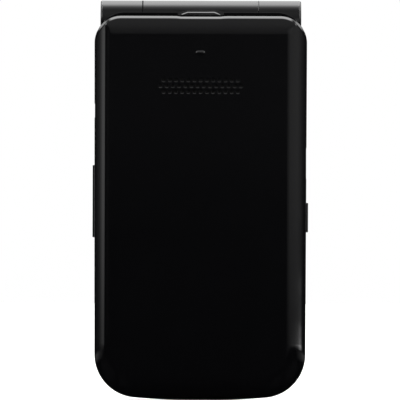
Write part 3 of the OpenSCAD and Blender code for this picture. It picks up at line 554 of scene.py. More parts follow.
# %% Geometry tree for the bands
def new_tree(name, inputs):
    """An empty geometry tree with named inputs, given as name: (kind, value)."""
    tree = bpy.data.node_groups.new(name, "GeometryNodeTree")
    tree.interface.new_socket("Geometry", in_out="INPUT", socket_type="NodeSocketGeometry")
    for key, (kind, value) in inputs.items():
        made = tree.interface.new_socket(key, in_out="INPUT", socket_type=kind)
        if value is not None:
            made.default_value = value
    tree.interface.new_socket("Geometry", in_out="OUTPUT", socket_type="NodeSocketGeometry")
    return tree, add(tree, "NodeGroupInput").outputs


def close_tree(tree, made, material):
    """Ends a tree: its instances become real, and take their material."""
    solid = add(tree, "GeometryNodeRealizeInstances", {"Geometry": made})
    coated = add(tree, "GeometryNodeSetMaterial", {"Geometry": solid, "Material": material})
    add(tree, "NodeGroupOutput", {"Geometry": coated})
    print(tree.name, "tree with", len(tree.nodes), "nodes")


def run_tree(made, tree, **values):
    """Puts the tree on an object and sets its inputs by their sockets' identifiers."""
    modifier = made.modifiers.new(tree.name, "NODES")
    modifier.node_group = tree
    for item in tree.interface.items_tree:
        key = item.name.replace(" ", "_").lower()
        if item.in_out == "INPUT" and key in values:
            modifier[item.identifier] = values[key]
    return baked(made)


print("geometry trees so far", len(bpy.data.node_groups))

# %% Curved bands
LIP_SOFT, MITRE_SOFT = 0.3, 0.3    # millimetres over which the lip and the mitre ease in
bands, given = new_tree("curved_bands", {
    "Side radius": ("NodeSocketFloat", 6 * MM), "Side centre": ("NodeSocketFloat", 3.5 * MM),
    "Hinge radius": ("NodeSocketFloat", 8 * MM), "Hinge centre": ("NodeSocketFloat", 1.5 * MM),
    "Mitre softness": ("NodeSocketFloat", MITRE_SOFT * MM),
    "Direction": ("NodeSocketFloat", -1.0),
    "Lip slope": ("NodeSocketFloat", 0.0), "Lip width": ("NodeSocketFloat", 0.5 * MM),
    "Material": ("NodeSocketMaterial", None)})
known = {name: add(bands, "GeometryNodeInputNamedAttribute", {"Name": name},
                   data_type="FLOAT").outputs["Attribute"]
         for name in ("from_side", "from_hinge", "inset", "thinner", "lip", "drop", "follow")}
depths = []
for run, radius, centre in (("from_side", "Side radius", "Side centre"),
                            ("from_hinge", "Hinge radius", "Hinge centre")):
    reach = add(bands, "ShaderNodeMath", {0: known[run], 1: 0.0}, operation="MAXIMUM")
    arm = add(bands, "ShaderNodeMath", {0: given[radius], 1: known["thinner"]},
              operation="SUBTRACT")
    reach2 = add(bands, "ShaderNodeMath", {0: reach, 1: reach}, operation="MULTIPLY")
    arm2 = add(bands, "ShaderNodeMath", {0: arm, 1: arm}, operation="MULTIPLY")
    left = add(bands, "ShaderNodeMath", {0: arm2, 1: reach2}, operation="SUBTRACT")
    left = add(bands, "ShaderNodeMath", {0: left, 1: 0.0}, operation="MAXIMUM")
    root = add(bands, "ShaderNodeMath", {0: left}, operation="SQRT")
    depths.append(add(bands, "ShaderNodeMath", {0: root, 1: given[centre]}, operation="ADD"))
depth = add(bands, "ShaderNodeMath", {0: depths[0], 1: depths[1], 2: given["Mitre softness"]},
            operation="SMOOTH_MIN")
over_lip = add(bands, "ShaderNodeMath", {0: given["Lip width"], 1: known["inset"]},
               operation="SUBTRACT")
over_lip = add(bands, "ShaderNodeMath", {0: over_lip, 1: 0.0, 2: LIP_SOFT * MM},
               operation="SMOOTH_MAX")
slope = add(bands, "ShaderNodeMath", {0: known["lip"], 1: given["Lip slope"]},
            operation="MULTIPLY")
fall = add(bands, "ShaderNodeMath", {0: over_lip, 1: slope, 2: known["drop"]},
           operation="MULTIPLY_ADD")
depth = add(bands, "ShaderNodeMath", {0: depth, 1: fall}, operation="SUBTRACT")
depth = add(bands, "ShaderNodeMath", {0: depth, 1: given["Direction"]}, operation="MULTIPLY")
flat = add(bands, "ShaderNodeSeparateXYZ", {0: add(bands, "GeometryNodeInputPosition")}).outputs
raised = add(bands, "ShaderNodeCombineXYZ", {"X": flat["X"], "Y": depth, "Z": flat["Z"]})
follows = add(bands, "FunctionNodeCompare", {0: known["follow"], 1: 0.5},
              data_type="FLOAT", operation="GREATER_THAN")
shaped = add(bands, "GeometryNodeSetPosition", {
    "Geometry": given["Geometry"], "Selection": follows.outputs["Result"], "Position": raised})
close_tree(bands, shaped, given["Material"])

# %% [markdown]
# ## The battery cover
# The cover is a shell 0.9 mm thick: an outer skin, a short straight wall down to the seam,
# and an inner skin that follows the outer one. All rings share one plan, from the middle of
# the outside, over the rim, to the middle of the inside. Its rim is turned down a little
# further along the hinge end, where it catches the light from above: there the plan moves
# along Z when its inset changes, and the tool reads that as the share of the lip.

# %% Shell tool
NO_LIP = 9                        # an inset past any lip, in millimetres
LIP_FROM, LIP_FULL = 0.1, 0.75    # the lip starts and is whole where 1 mm of inset moves Z so


def eased(share):
    """0 to 1, with a soft start and a soft end."""
    share = np.clip(share, 0, 1)
    return share ** 2 * (3 - 2 * share)


def shell(name, width, top, outer_insets, inner_insets, wall, seam_y, run_out, rim_drop, **rule):
    """A hollow shell from flat plans. run_out gives the two distances past the bands."""
    moved = np.array(plan(width, top, 0.0)) - np.array(plan(width, top, 1.0))
    lip = eased((moved[:, 1] - LIP_FROM) / (LIP_FULL - LIP_FROM))
    rows, notes = [], []

    def row(inset, thinner=0.0, drop=0.0, y=0.0, follow=1.0):
        """One ring of the shell, and what its points know about their place."""
        points = np.array(plan(width, top, inset))
        rows.append(at_depth(points, y))
        side, hinge = run_out(points[:, 0], points[:, 1], inset)
        lip_inset = inset if follow and not thinner else NO_LIP
        note = {"from_side": side * MM, "from_hinge": hinge * MM, "lip": lip}
        for key, value in (("inset", lip_inset * MM), ("thinner", thinner * MM),
                           ("drop", drop * MM), ("follow", follow)):
            note[key] = np.full(len(points), value)
        notes.append(note)

    for inset in outer_insets:
        row(inset)
    row(0.0, drop=rim_drop)
    row(0.0, y=seam_y, follow=0)
    row(wall, y=seam_y, follow=0)
    for inset in inner_insets:
        row(inset, thinner=wall)
    made = to_object(name, skin(rows), polished_abs)
    for key in notes[0]:
        values = np.concatenate([note[key] for note in notes]).astype(np.float32)
        made.data.attributes.new(key, "FLOAT", "POINT").data.foreach_set("value", values)
    return run_tree(made, bands, material=polished_abs, **rule)


print("eased quarters", [round(float(eased(share)), 3) for share in (0.25, 0.5, 0.75)])

# %% Battery cover, shaped
FOOT_X, FOOT_Z = 16.1, 11.83    # centre of the foot's corner
FOOT_RUN = 6.2                  # the side band starts so far from it
HINGE_BAND_Z = 94.55            # the band at the hinge end starts here
BAND_W = 5.7                    # width of the side band
BITE, BITE_X, BITE_RUN = 0.5, 17, 4    # how much the corners bite, from where, over what
COVER_WALL, COVER_SEAM_Y = 0.9, -5.3
RIM_BELOW = 0.34                # how far the rim stays below the top of the opening
RIM_DROP = 0.12                 # and how far its edge is turned down


def past_cover_bands(x, z, inset):
    """Distances past the start of the bands. The foot's corners bite a little higher inside
    the side band than they do at the rim and at the flat middle."""
    inside = BITE * inset * max(1 - (inset / BAND_W) ** 4, 0)
    bite = inside * eased((np.abs(x) - BITE_X) / BITE_RUN)
    side = np.hypot(np.maximum(np.abs(x) - FOOT_X, 0), np.maximum(FOOT_Z + bite - z, 0))
    return side - FOOT_RUN, z - HINGE_BAND_Z


outer = list(np.arange(BAND_W, 0.79, -0.21)) + list(np.arange(0.72, 0.0, -0.08)) + [0.02]
inner = list(np.arange(1.1, BAND_W + 0.05, 0.4)) + [BAND_W + 0.05]
battery_cover = shell("battery_cover_shell", PHONE_W, COVER_TOP - RIM_BELOW, outer, inner,
                      COVER_WALL, COVER_SEAM_Y, past_cover_bands, RIM_DROP, lip_slope=1.15,
                      lip_width=0.56 * MM, hinge_radius=8.4 * MM, hinge_centre=1.1 * MM)
print("cover shell", len(battery_cover.data.polygons), "faces")

# %% Dip for a fingernail
# The rim dips a little below the tab, so that a fingernail reaches it.
DIP, DIP_HALF, DIP_RUN, DIP_Z, DIP_RISE = 0.2, 6.3, 0.7, 98.4, 1.1
lowered = 0
for vertex in battery_cover.data.vertices:
    across = (DIP_HALF - abs(vertex.co.x) / MM) / DIP_RUN
    along = (vertex.co.z / MM - DIP_Z) / DIP_RISE
    near = min(max(across, 0), 1) * min(max(along, 0), 1)
    vertex.co.z -= DIP * MM * near
    lowered += near > 0
print("points lowered", lowered)

# %% [markdown]
# ## The loudspeaker's holes
# Forty small round holes in three rows let the sound out. They repeat at a fixed pitch, so a
# Geometry Nodes tree lays them out: one row of points for each row of holes, a cutter on each
# point. The cutter flares at the mouth, as a moulded hole has no knife edge. The cutters are
# then taken out of the cover in one cut.

# %% Cutter of one hole
HOLE_SIDES = 16
hole_cutter = turned_profile("hole_cutter", [(0.62, -0.2), (0.62, 0), (0.45, 0.16), (0.45, 2)],
                             HOLE_SIDES, (0, 0, 0), satin_abs)
cutter_points = len(hole_cutter.data.vertices)
print("cutter of", cutter_points, "points")

# %% Tree for the rows of holes
grille, given = new_tree("grille_rows", {
    "Cutter": ("NodeSocketObject", None), "Long row": ("NodeSocketInt", 14),
    "Pitch": ("NodeSocketFloat", 1.6 * MM), "Row pitch": ("NodeSocketFloat", 1.5 * MM),
    "Middle": ("NodeSocketVector", (0, -9.5 * MM, 81.3 * MM)),
    "Material": ("NodeSocketMaterial", None)})
lines = []
for level in (-1, 0, 1):
    count = add(grille, "ShaderNodeMath", {0: given["Long row"], 1: float(abs(level))},
                operation="SUBTRACT")
    span = add(grille, "ShaderNodeMath", {0: count, 1: -1.0}, operation="ADD")
    half = add(grille, "ShaderNodeMath", {0: span, 1: -0.5}, operation="MULTIPLY")
    start = add(grille, "ShaderNodeMath", {0: half, 1: given["Pitch"]}, operation="MULTIPLY")
    lift = add(grille, "ShaderNodeMath", {0: given["Row pitch"], 1: float(level)},
               operation="MULTIPLY")
    offset = add(grille, "ShaderNodeCombineXYZ", {"X": start, "Z": lift})
    begin = add(grille, "ShaderNodeVectorMath", {0: given["Middle"], 1: offset})
    step = add(grille, "ShaderNodeCombineXYZ", {"X": given["Pitch"]})
    lines.append(add(grille, "GeometryNodeMeshLine", {
        "Count": count, "Start Location": begin, "Offset": step}))
rows = add(grille, "GeometryNodeJoinGeometry")
for line in lines:
    grille.links.new(line.outputs[0], rows.inputs[0])
cutter = add(grille, "GeometryNodeObjectInfo", {"Object": given["Cutter"]})
placed = add(grille, "GeometryNodeInstanceOnPoints", {
    "Points": rows, "Instance": cutter.outputs["Geometry"]})
close_tree(grille, placed, given["Material"])

# %% Rows of holes
def carrier(name):
    """An empty mesh object for a tree that makes its own geometry."""
    return linked(name, bpy.data.meshes.new(name))


hole_cutters = run_tree(carrier("hole_cutters"), grille, cutter=hole_cutter,
                        material=polished_abs)
bpy.data.objects.remove(hole_cutter)
print("hole cutters", len(hole_cutters.data.vertices) // cutter_points)

# %% [markdown]
# ## Rounded slabs
# Keys, windows, pockets and pips are all a rounded rectangle with a soft edge. This tool
# draws one from rings: straight walls, then a quarter round at the outer edge.

# %% Rounded slab tool
def rounded(width, height, radius, cx=0.0, cz=0.0, steps=8, edge_steps=4):
    """Points of a rounded rectangle in millimetres, anticlockwise from the right."""
    radius = min(radius, width / 2 - 1e-4, height / 2 - 1e-4)
    corners = []
    for first, sx, sz in ((0, 1, 1), (90, -1, 1), (180, -1, -1), (270, 1, -1)):
        turns = [math.radians(first + 90 * i / steps) for i in range(steps + 1)]
        corners.append([(cx + sx * (width / 2 - radius) + radius * math.cos(a),
                         cz + sz * (height / 2 - radius) + radius * math.sin(a))
                        for a in turns])
    points = []
    for corner, following in zip(corners, corners[1:] + corners[:1]):
        (x0, z0), (x1, z1) = corner[-1], following[0]
        points += corner + [(x0 + (x1 - x0) * t, z0 + (z1 - z0) * t)
                            for t in shares(edge_steps)[:-1]]
    return points


def rounded_slab(name, width, height, radius, y0, y1, cx, cz, material, edge=0.2, foot=0.0):
    """A slab from its base y0 to its top y1, with a round edge, and a bevel at the foot."""
    out = 1 if y1 > y0 else -1
    rounds = [math.pi / 2 * t for t in [0] + shares(5)]
    levels = [(foot, y0), (0, y0 + out * foot)] if foot else [(0, y0)]
    levels += [(edge * (1 - math.cos(a)), y1 - out * edge * (1 - math.sin(a))) for a in rounds]
    rings = [at_depth(rounded(width - 2 * inset, height - 2 * inset,
                              max(radius - inset, 0.01), cx, cz), y) for inset, y in levels]
    return sharpen(to_object(name, skin(rings), material), 40)


print("slab of", len(rounded(2, 1, 0.3)), "points a ring")

# %% [markdown]
# ## The pip and the finished cover
# A small raised pip above the holes keeps them clear of a table. It is a mound with sloping
# sides, so it takes light on its upper and left slopes. Two shallow flats give a plug room
# beside the sockets.

# %% Battery cover, finished
PIP_Z = 89.8
pip = to_object("pip", skin([at_depth(rounded(
    2.6 - 2 * i, 1.1 - 2 * i, 0.55 - i, -0.1, PIP_Z), y) for i, y in (
        (0, -9.3), (0, -9.5), (0.1, -9.6), (0.2, -9.68), (0.3, -9.73), (0.4, -9.75))]),
    polished_abs)
FLAT_X, FLAT_DEEP = 27.35, 1.2    # where a flat ends, and how far its cutter reaches out
flats = [rounded_slab("flat", FLAT_DEEP, tall, 0.3, -7.8, -2.8, side * (FLAT_X + FLAT_DEEP / 2),
                      z, polished_abs, edge=0.05)
         for side, tall, z in ((-1, 4.0, 74.8), (1, 8.3, 61.3))]
cut(battery_cover, hole_cutters, *flats)
settle(joined("battery_cover_moulding", battery_cover, pip), "battery_cover",
       "gloss_shell", "battery_cover", sharp=34)

# %% [markdown]
# ## The lid's outer cover
# The lid has the same plan, a little smaller and lower, with edges of 3 mm radius and a
# shoulder of 5 mm radius towards the hinge. It is made by the same rule, turned the other
# way, and opened for the outer window.

# %% Lid shell
LID_EDGE_R, LID_SHOULDER_R = 3.0, 5.0
LID_WALL, LID_SEAM_Y = 1.1, 2.86


def past_lid_bands(x, z, inset):
    """Distances past the start of the lid's bands."""
    return np.full(len(x), LID_EDGE_R - inset), z - (LID_TOP - LID_SHOULDER_R)


arc = [LID_EDGE_R * (1 - math.cos(math.radians(a))) for a in range(85, 0, -5)]
outer = [5.6, 5.2, 4.8, 4.4, 4.0, 3.7, 3.4, 3.1] + arc + [0.0]
inner = [1.1, 1.3, 1.6, 2.0, 2.6, 3.4, 4.4, 5.4]
lid_shell = shell("lid_shell", CHASSIS_W, LID_TOP, outer, inner, LID_WALL, LID_SEAM_Y,
                  past_lid_bands, 0.0, side_radius=LID_EDGE_R * MM, side_centre=6.5 * MM,
                  hinge_radius=LID_SHOULDER_R * MM, hinge_centre=4.5 * MM, direction=1.0,
                  mitre_softness=0.7 * MM)
print("lid shell", len(lid_shell.data.vertices), "points")

# %% [markdown]
# ## The opening for the outer window
# The window lies in a recess that is cut through the cover, on a ledge of its own that is
# open in the middle for the display and the camera.

# %% Opening of the outer window
WINDOW_Z = 64.0
recess = rounded_slab("recess", 33.0, 41.0, 3.0, 8.45, 12.0, 0, WINDOW_Z, polished_abs,
                      edge=0.05)
opening = rounded_slab("opening", 29.0, 37.0, 1.5, 5.0, 12.0, 0, WINDOW_Z, polished_abs,
                       edge=0.05)
ledge = cut(rounded_slab("ledge", 35.0, 43.0, 4.0, 7.75, 8.45, 0, WINDOW_Z, satin_abs,
                         edge=0.02), opening)
cut(lid_shell, recess)
print("lid shell", len(lid_shell.data.polygons), "faces")

# %% [markdown]
# ## The hinge barrel
# The barrel is three turned knuckles on one axis: two belong to the lid, the wide middle one
# to the keypad half. Turning a profile about the axis gives this exactly. Their ends have a
# fine round edge, and matt black rings at the bottom of the seams make them two thin dark
# lines across the barrel.

# %% Knuckles
HINGE_Y, HINGE_Z, BARREL_R = 1.45, 98.0, 5.6
BARREL_SIDES = 160


def turned_barrel(name, profile, material, sides=BARREL_SIDES, looped=True):
    """A closed body turned about the hinge's axis, from (radius, x) pairs."""
    return turned_profile(name, profile, sides, (0, HINGE_Y, HINGE_Z), material, "X", looped)


def knuckle(name, x0, x1, bore, edge0, edge1):
    """A turned sleeve with a bore, and a round edge of its own radius at each end."""
    ends = []
    for x, edge, way in ((x0, edge0, 1), (x1, edge1, -1)):
        ends.append([(BARREL_R - edge + edge * math.sin(a), x + way * edge * (1 - math.cos(a)))
                     for a in (math.pi / 2 * i / 4 for i in range(5))])
    profile = [(bore, x0)] + ends[0] + ends[1][::-1] + [(bore, x1)]
    return sharpen(turned_barrel(name, profile, polished_abs), 40)


left_knuckle = knuckle("left_knuckle", -25.45, -15.18, 3.55, 0.01, 0.02)
right_knuckle = knuckle("right_knuckle", 15.04, 25.45, 3.02, 0.03, 0.01)
settle(joined("lid_outer_cover_moulding", lid_shell, ledge, left_knuckle, right_knuckle),
       "lid", "gloss_shell", "lid_outer_cover", sharp=34)

# %% Middle knuckle and the seams
# The middle knuckle is a thin skin over the moulded housing. The right seam has two rings,
# and a hair of daylight between them that a small block ends below.
SKIN_BORE, RING_R = 5.0, 5.45
middle_skin = knuckle("skin", -14.91, 14.77, SKIN_BORE, 0.03, 0.06)
rings = [turned_barrel("ring", [(SKIN_BORE, x0), (RING_R, x0), (RING_R, x1), (SKIN_BORE, x1)],
                       window_ink)
         for x0, x1 in ((-15.175, -14.89), (14.75, 14.89), (14.935, 15.035))]
stop = rounded_slab("stop", 0.085, 2.2, 0.01, 1.0, -2.4, 14.9125, 99.75, window_ink, edge=0.01)
settle(joined("middle_knuckle_skin", middle_skin, *rings, stop), "base", "gloss_shell")

# %% End caps
cap_profile = [(0.001, 25.3), (3.0, 25.3), (3.0, 25.47), (5.59, 25.47), (5.6, 25.48),
               (5.59, 25.6), (5.55, 25.72), (5.48, 25.83), (5.37, 25.92), (5.22, 25.98),
               (5.05, 26.0), (4.4, 26.0), (4.3, 25.96), (4.2, 25.9), (0.001, 25.9)]
caps = [turned_barrel("cap", [(r, side * x) for r, x in cap_profile], polished_abs, 96, False)
        for side in (-1, 1)]
settle(joined("knuckle_end_caps", *caps), "lid", "gloss_shell", "knuckle_caps", sharp=30)

# %% [markdown]
# ## Mouldings that keep their modelled shape
# Many parts already have the right shape and only lack the small rounds that every moulded
# or stamped edge has. A copy of the node is merged, its flat faces are cleaned, and a Bevel
# modifier rounds its sharp edges. Weighted normals keep the flat faces flat in reflections.

# %% Rounded copy of a node
SAME_POINT = 2e-6     # metres
FLAT_DEGREES = 0.4    # faces that turn less than this are one flat face
EDGE_DEGREES = 35     # edges that turn more than this are rounded


def rounded_copy(node, name, body, slot, width, material, segments=2, change=None):
    """A node's own shape with rounded edges, as the piece that stands for it."""
    bm = bmesh.new()
    bm.from_mesh(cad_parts[node].data)
    bmesh.ops.remove_doubles(bm, verts=bm.verts, dist=SAME_POINT)
    bmesh.ops.dissolve_limit(bm, angle_limit=math.radians(FLAT_DEGREES), verts=bm.verts,
                             edges=bm.edges)
    if change:
        for vertex in bm.verts:
            vertex.co = [c * MM for c in change(*(c / MM for c in vertex.co))]
    made = to_object(name, bm, material)
    bevel = made.modifiers.new("edge", "BEVEL")
    bevel.width = width * MM
    bevel.segments = segments
    bevel.limit_method = "ANGLE"
    bevel.angle_limit = math.radians(EDGE_DEGREES)
    bevel.use_clamp_overlap = True
    weight = made.modifiers.new("flat", "WEIGHTED_NORMAL")
    weight.keep_sharp = True
    weight.weight = 100
    settle(baked(sharpen(made, 50)), body, slot, node)


TAB_HALF, TAB_FROM_Z, TAB_FRONT, TAB_BACK = 6.2, 100, -4.5, -4.0


def tab_front_set_back(x, y, z):
    """Moves the front of the tab in, so that its bevelled edge can stand before it."""
    at_front = abs(x) < TAB_HALF and z > TAB_FROM_Z and y < TAB_FRONT
    return x, TAB_BACK if at_front else y, z


rounded_copy("rear_housing", "rear_housing_moulding", "base", "chassis", 0.1, polished_abs,
             change=tab_front_set_back)

# %% [markdown]
# ## The edge above the cover
# The housing shows as a narrow dark line above the cover's rim, on both sides of a small tab
# for a fingernail. The tab's upper edge is bevelled and takes a bright line from above.

# %% Rib and tab
RIB_TOP, RIB_FOOT, RIB_FROM_X, RIB_TO_X = 100.35, 94.5, 5.6, 25.2
RIB_INSET = 0.6    # how far a rib stands in from the chassis
ribs = []
for side in (-1, 1):
    crest = [p for p in plan(CHASSIS_W - 2 * RIB_INSET, RIB_TOP, 0)
             if RIB_FROM_X < side * p[0] < RIB_TO_X and p[1] > RIB_FOOT]
    crest.sort(key=lambda p: abs(p[0]))
    rib = crest + [(x, RIB_FOOT) for x, z in crest[::-1]]
    ribs.append(to_object("rib", skin([at_depth([(x, z - d) for x, z in rib], y) for y, d in (
        (-5.25, 0.06), (-5.2, 0), (-4.6, 0))]), polished_abs))
tab_rows = [at_depth([(-5.9 + d, 99), (-5.9 + d, 99.78 - d), (-3.5 + d / 3, 100.53 - d),
                      (3.5 - d / 3, 100.53 - d), (5.9 - d, 99.78 - d), (5.9 - d, 99)], y)
            for y, d in ((-4.75, 0.36), (-4.74, 0.31), (-4.7, 0.27), (-4.24, 0.01),
                         (-4.15, 0), (-3.2, 0))]
tab = to_object("tab", skin(tab_rows), polished_abs)
settle(joined("housing_edge_and_tab", *ribs, tab), "base", "chassis", sharp=28)

# %% [markdown]
# ## The two inner frames
# The frame round the keypad and the one round the inner display are moulded from a smoother,
# slightly duller plastic than the covers. Their shape is right already, so both are rounded
# copies.

# %% Inner frames
rounded_copy("keypad_housing", "keypad_frame_moulding", "base", "keypad_shell", 0.1, smooth_abs)
rounded_copy("lid_inner_cover", "lid_inner_frame", "lid", "keypad_shell", 0.15, smooth_abs)

# %% [markdown]
# ## Beads in the seams
# Where two mouldings meet, one carries a tongue that no light passes. The lid carries a low
# bead round its display and the keypad one just inside it, so the closed telephone shows no
# daylight between its halves. Each is a ring that follows the plan of the shells.

# %% Tongues and beads
def bead(name, top, inset, width, y0, y1, body, slot):
    """A square ring from depth y0 to y1, inset from the plan of the chassis."""
    rows = [at_depth(plan(CHASSIS_W, top, i), y) for i, y in (
        (inset, y0), (inset, y1), (inset + width, y1), (inset + width, y0))]
    settle(to_object(name, skin(rows, looped=True), satin_abs), body, slot, sharp=30)


bead("housing_tongue", 91.0, 0.3, 0.6, -0.45, -0.15, "base", "chassis")
bead("lid_tongue", 91.0, 0.3, 0.6, 2.7, 2.95, "lid", "keypad_shell")
bead("lid_bead", 90.5, 1.4, 0.7, 1.38, 1.65, "lid", "keypad_shell")
bead("keypad_bead", 90.5, 2.35, 0.6, 0.95, 1.5, "base", "keypad_shell")

# %% [markdown]
# ## Side keys
# The volume rocker and the side button are slim pills that stand a little proud of the
# sides. Each keeps its stem inside the housing.

# %% Side keys
for node in ("volume_rocker", "side_button"):
    rounded_copy(node, node + "_key", node, "side_keys", 0.28, polished_abs, segments=4)

# %% [markdown]
# ## The windows
# Each window is a pane of tinted acrylic with a softly rounded edge. Black ink on its inside
# leaves an opening for the display, and in the outer window a round one for the camera. The
# ink is modelled as its own thin layer, so the rim stays black when light falls through the
# pane.

# %% Panes and their print
def printed_pane(name, width, height, radius, y_in, y_out, cz, holes, node):
    """A pane whose outside is at y_out, and its ink at y_in, with slabs as openings."""
    way = 1 if y_out > y_in else -1
    ink = rounded_slab("ink", width - 0.5, height - 0.5, radius - 0.25, y_in,
                       y_in + way * 0.05, 0, cz, window_ink, edge=0.01)
    cut(ink, *[rounded_slab("hole", w, h, r, y_in - way, y_in + way, 0, z, window_ink,
                            edge=0.01) for w, h, r, z in holes])
    pane = rounded_slab("pane", width, height, radius, y_in + way * 0.07, y_out, 0, cz,
                        tinted_acrylic, edge=0.22, foot=0.05)
    settle(joined(name, pane, ink), "lid", "window_glass", node, sharp=40)


DISPLAY_Z, CAMERA_Z, SCREEN_Z = 60.1, 77.5, 47.0
printed_pane("outer_window_pane", 32.9, 40.9, 2.95, 8.45, 9.45, WINDOW_Z,
             [(24.5, 21.5, 0.8, DISPLAY_Z), (4.6, 4.6, 2.29, CAMERA_Z)], "outer_window")
printed_pane("main_window_pane", 47.0, 62.0, 2.0, 2.45, 1.65, SCREEN_Z,
             [(38.6, 50.6, 0.8, SCREEN_Z)], "main_window")

# %% [markdown]
# ## The displays and the camera
# A display module is a sheet-metal tray that holds a glass panel, whose dark active area is a
# little smaller. The camera is a turned barrel with stepped rings round a domed lens.

# %% Display modules
def display_module(name, width, height, y_back, y_face, cz, node):
    """A tray, its glass and its active area, which faces y_face."""
    way = 1 if y_face > y_back else -1
    tray = rounded_slab("tray", width, height, 0.6, y_back, y_face - way * 0.3, 0, cz,
                        tinned_steel, edge=0.12)
    glass = rounded_slab("glass", width - 0.8, height - 0.8, 0.3, y_face - way * 0.35,
                         y_face - way * 0.06, 0, cz, panel_glass, edge=0.06)
    area = rounded_slab("area", width - 4.0, height - 4.5, 0.2, y_face - way * 0.1,
                        y_face - way * 0.03, 0, cz, display_film, edge=0.02)
    settle(joined(name, tray, glass, area), "lid", "display_panel", node, sharp=40)


display_module("outer_display_module", 27.0, 26.0, 6.05, 7.65, DISPLAY_Z, "outer_display")
display_module("main_display_module", 43.5, 58.0, 4.95, 2.95, SCREEN_Z, "main_display")

# %% Camera
block = rounded_slab("block", 7.2, 7.2, 0.5, 5.9, 7.74, 0, CAMERA_Z, nylon, edge=0.15)
barrel = turned_profile("barrel", [
    (2.6, 7.6), (2.6, 8.22), (2.54, 8.31), (2.42, 8.35), (2.2, 8.35), (2.1, 8.3), (2.05, 8.15),
    (1.75, 8.12), (1.7, 8.0), (1.45, 7.97), (1.4, 7.85), (1.2, 7.82)], 64, (0, 0, CAMERA_Z),
    smooth_abs)
lens = turned_profile("lens", [
    (1.3, 7.6), (1.3, 7.83), (1.15, 7.92), (0.9, 8.0), (0.6, 8.06), (0.3, 8.09),
    (0.02, 8.1)], 64, (0, 0, CAMERA_Z), lens_glass)
settle(joined("camera_barrel_and_lens", block, barrel, lens), "lid", "display_panel",
       "camera_module", sharp=35)

# %% [markdown]
# ## Copies on points
# Screws, bumpers and domes are one shape set down several times. A Geometry Nodes tree takes
# the points of a small mesh, puts a copy of the shape on each, and bakes them to one mesh.

# %% Tree for copies
copies, given = new_tree("copies_on_points", {
    "Shape": ("NodeSocketObject", None), "Size": ("NodeSocketFloat", 1.0),
    "Material": ("NodeSocketMaterial", None)})
shape = add(copies, "GeometryNodeObjectInfo", {"Object": given["Shape"]})
placed = add(copies, "GeometryNodeInstanceOnPoints", {
    "Points": given["Geometry"], "Instance": shape.outputs["Geometry"],
    "Scale": given["Size"]})
close_tree(copies, placed, given["Material"])


def settle_copies(name, shape, places, material, body, slot, node):
    """One piece with a copy of the shape at each (x, y, z) in millimetres."""
    made = carrier(name)
    made.data.from_pydata([tuple(c * MM for c in place) for place in places], [], [])
    run_tree(made, copies, shape=shape, material=material)
    bpy.data.objects.remove(shape)
    settle(made, body, slot, node, sharp=40)


# %% Screws
THREAD_PITCH = 0.3


def screw(head_r, head_t, shank_r, shank_l):
    """A pan-head screw with a cross recess and a thread, its head's underside at the origin."""
    profile = [(head_r - 0.12, -0.02), (head_r, -0.1), (head_r, -head_t + 0.2),
               (head_r - 0.1, -head_t + 0.06), (head_r - 0.3, -head_t), (0.02, -head_t)]
    head = turned_profile("head", profile, 40, (0, 0, 0), plated_steel)
    for w, h in ((0.34, 1.5), (1.5, 0.34)):
        cut(head, rounded_slab("slot", w, h, 0.08, -head_t + 0.28, -head_t - 0.5, 0, 0,
                               plated_steel, edge=0.02))
    thread = [(shank_r, -0.05)]
    for i in range(int(shank_l / THREAD_PITCH)):
        start = THREAD_PITCH * i
        thread += [(shank_r, start + 0.12), (shank_r * 0.82, start + 0.27)]
    shank = turned_profile("shank", thread + [(shank_r * 0.5, shank_l)], 20, (0, 0, 0),
                           plated_steel)
    return joined("screw", head, shank)


BASE_SCREWS = [(s * x, -4.2, z) for s in (-1, 1) for x, z in ((19.5, 5.43), (22.5, 87.1))]
LID_SCREWS = [(s * x, 2.45, z) for s in (-1, 1) for x, z in ((22.0, 6.83), (23.2, 83.2))]
settle_copies("housing_screws", screw(1.3, 0.6, 0.7, 4.4), BASE_SCREWS, plated_steel,
              "base", "screw_steel", "base_screws")
settle_copies("lid_screw_set", screw(1.2, 0.4, 0.6, 3.1), LID_SCREWS, plated_steel,
              "lid", "screw_steel", "lid_screws")

# %% Bumpers
bumper = turned_profile("bumper", [
    (1.5, 0), (1.6, -0.08), (1.6, -0.6), (1.55, -0.75), (1.42, -0.86), (1.15, -0.93),
    (0.6, -0.95), (0.02, -0.95)], 40, (0, 0, 0), silicone)
settle_copies("lid_bumper_set", bumper, [(x, 2.0, z) for x, _, z in LID_SCREWS], silicone,
              "lid", "key_rubber", "lid_bumpers")

# %% [markdown]
# ## Key tops
# A key top is a rounded rectangle with a soft edge and a low crown, on a wider flange that
# the plate holds down. All keys share one rule: the further a point of the top lies from the
# key's middle, the lower it is. A Geometry Nodes tree applies that rule to the top and to its
# legend alike, so the legend follows the crown.

# %% Tree for the crown
crown, given = new_tree("key_crown", {
    "Middle": ("NodeSocketVector", (0, 0, 0)), "Half width": ("NodeSocketFloat", 7.2 * MM),
    "Half height": ("NodeSocketFloat", 4.7 * MM), "Crown": ("NodeSocketFloat", 0.2 * MM),
    "From": ("NodeSocketFloat", 0.7 * MM), "Material": ("NodeSocketMaterial", None)})
spot = add(crown, "GeometryNodeInputPosition")
away = add(crown, "ShaderNodeVectorMath", {0: spot, 1: given["Middle"]}, operation="SUBTRACT")
away = add(crown, "ShaderNodeSeparateXYZ", {0: away}).outputs
fall = []
for axis, half in (("X", "Half width"), ("Z", "Half height")):
    share = add(crown, "ShaderNodeMath", {0: away[axis], 1: given[half]}, operation="DIVIDE")
    square = add(crown, "ShaderNodeMath", {0: share, 1: share}, operation="MULTIPLY")
    rest = add(crown, "ShaderNodeMath", {0: 1.0, 1: square}, operation="SUBTRACT",
               use_clamp=True)
    fall.append(rest)
level = add(crown, "ShaderNodeMath", {0: fall[0], 1: fall[1]}, operation="MULTIPLY")
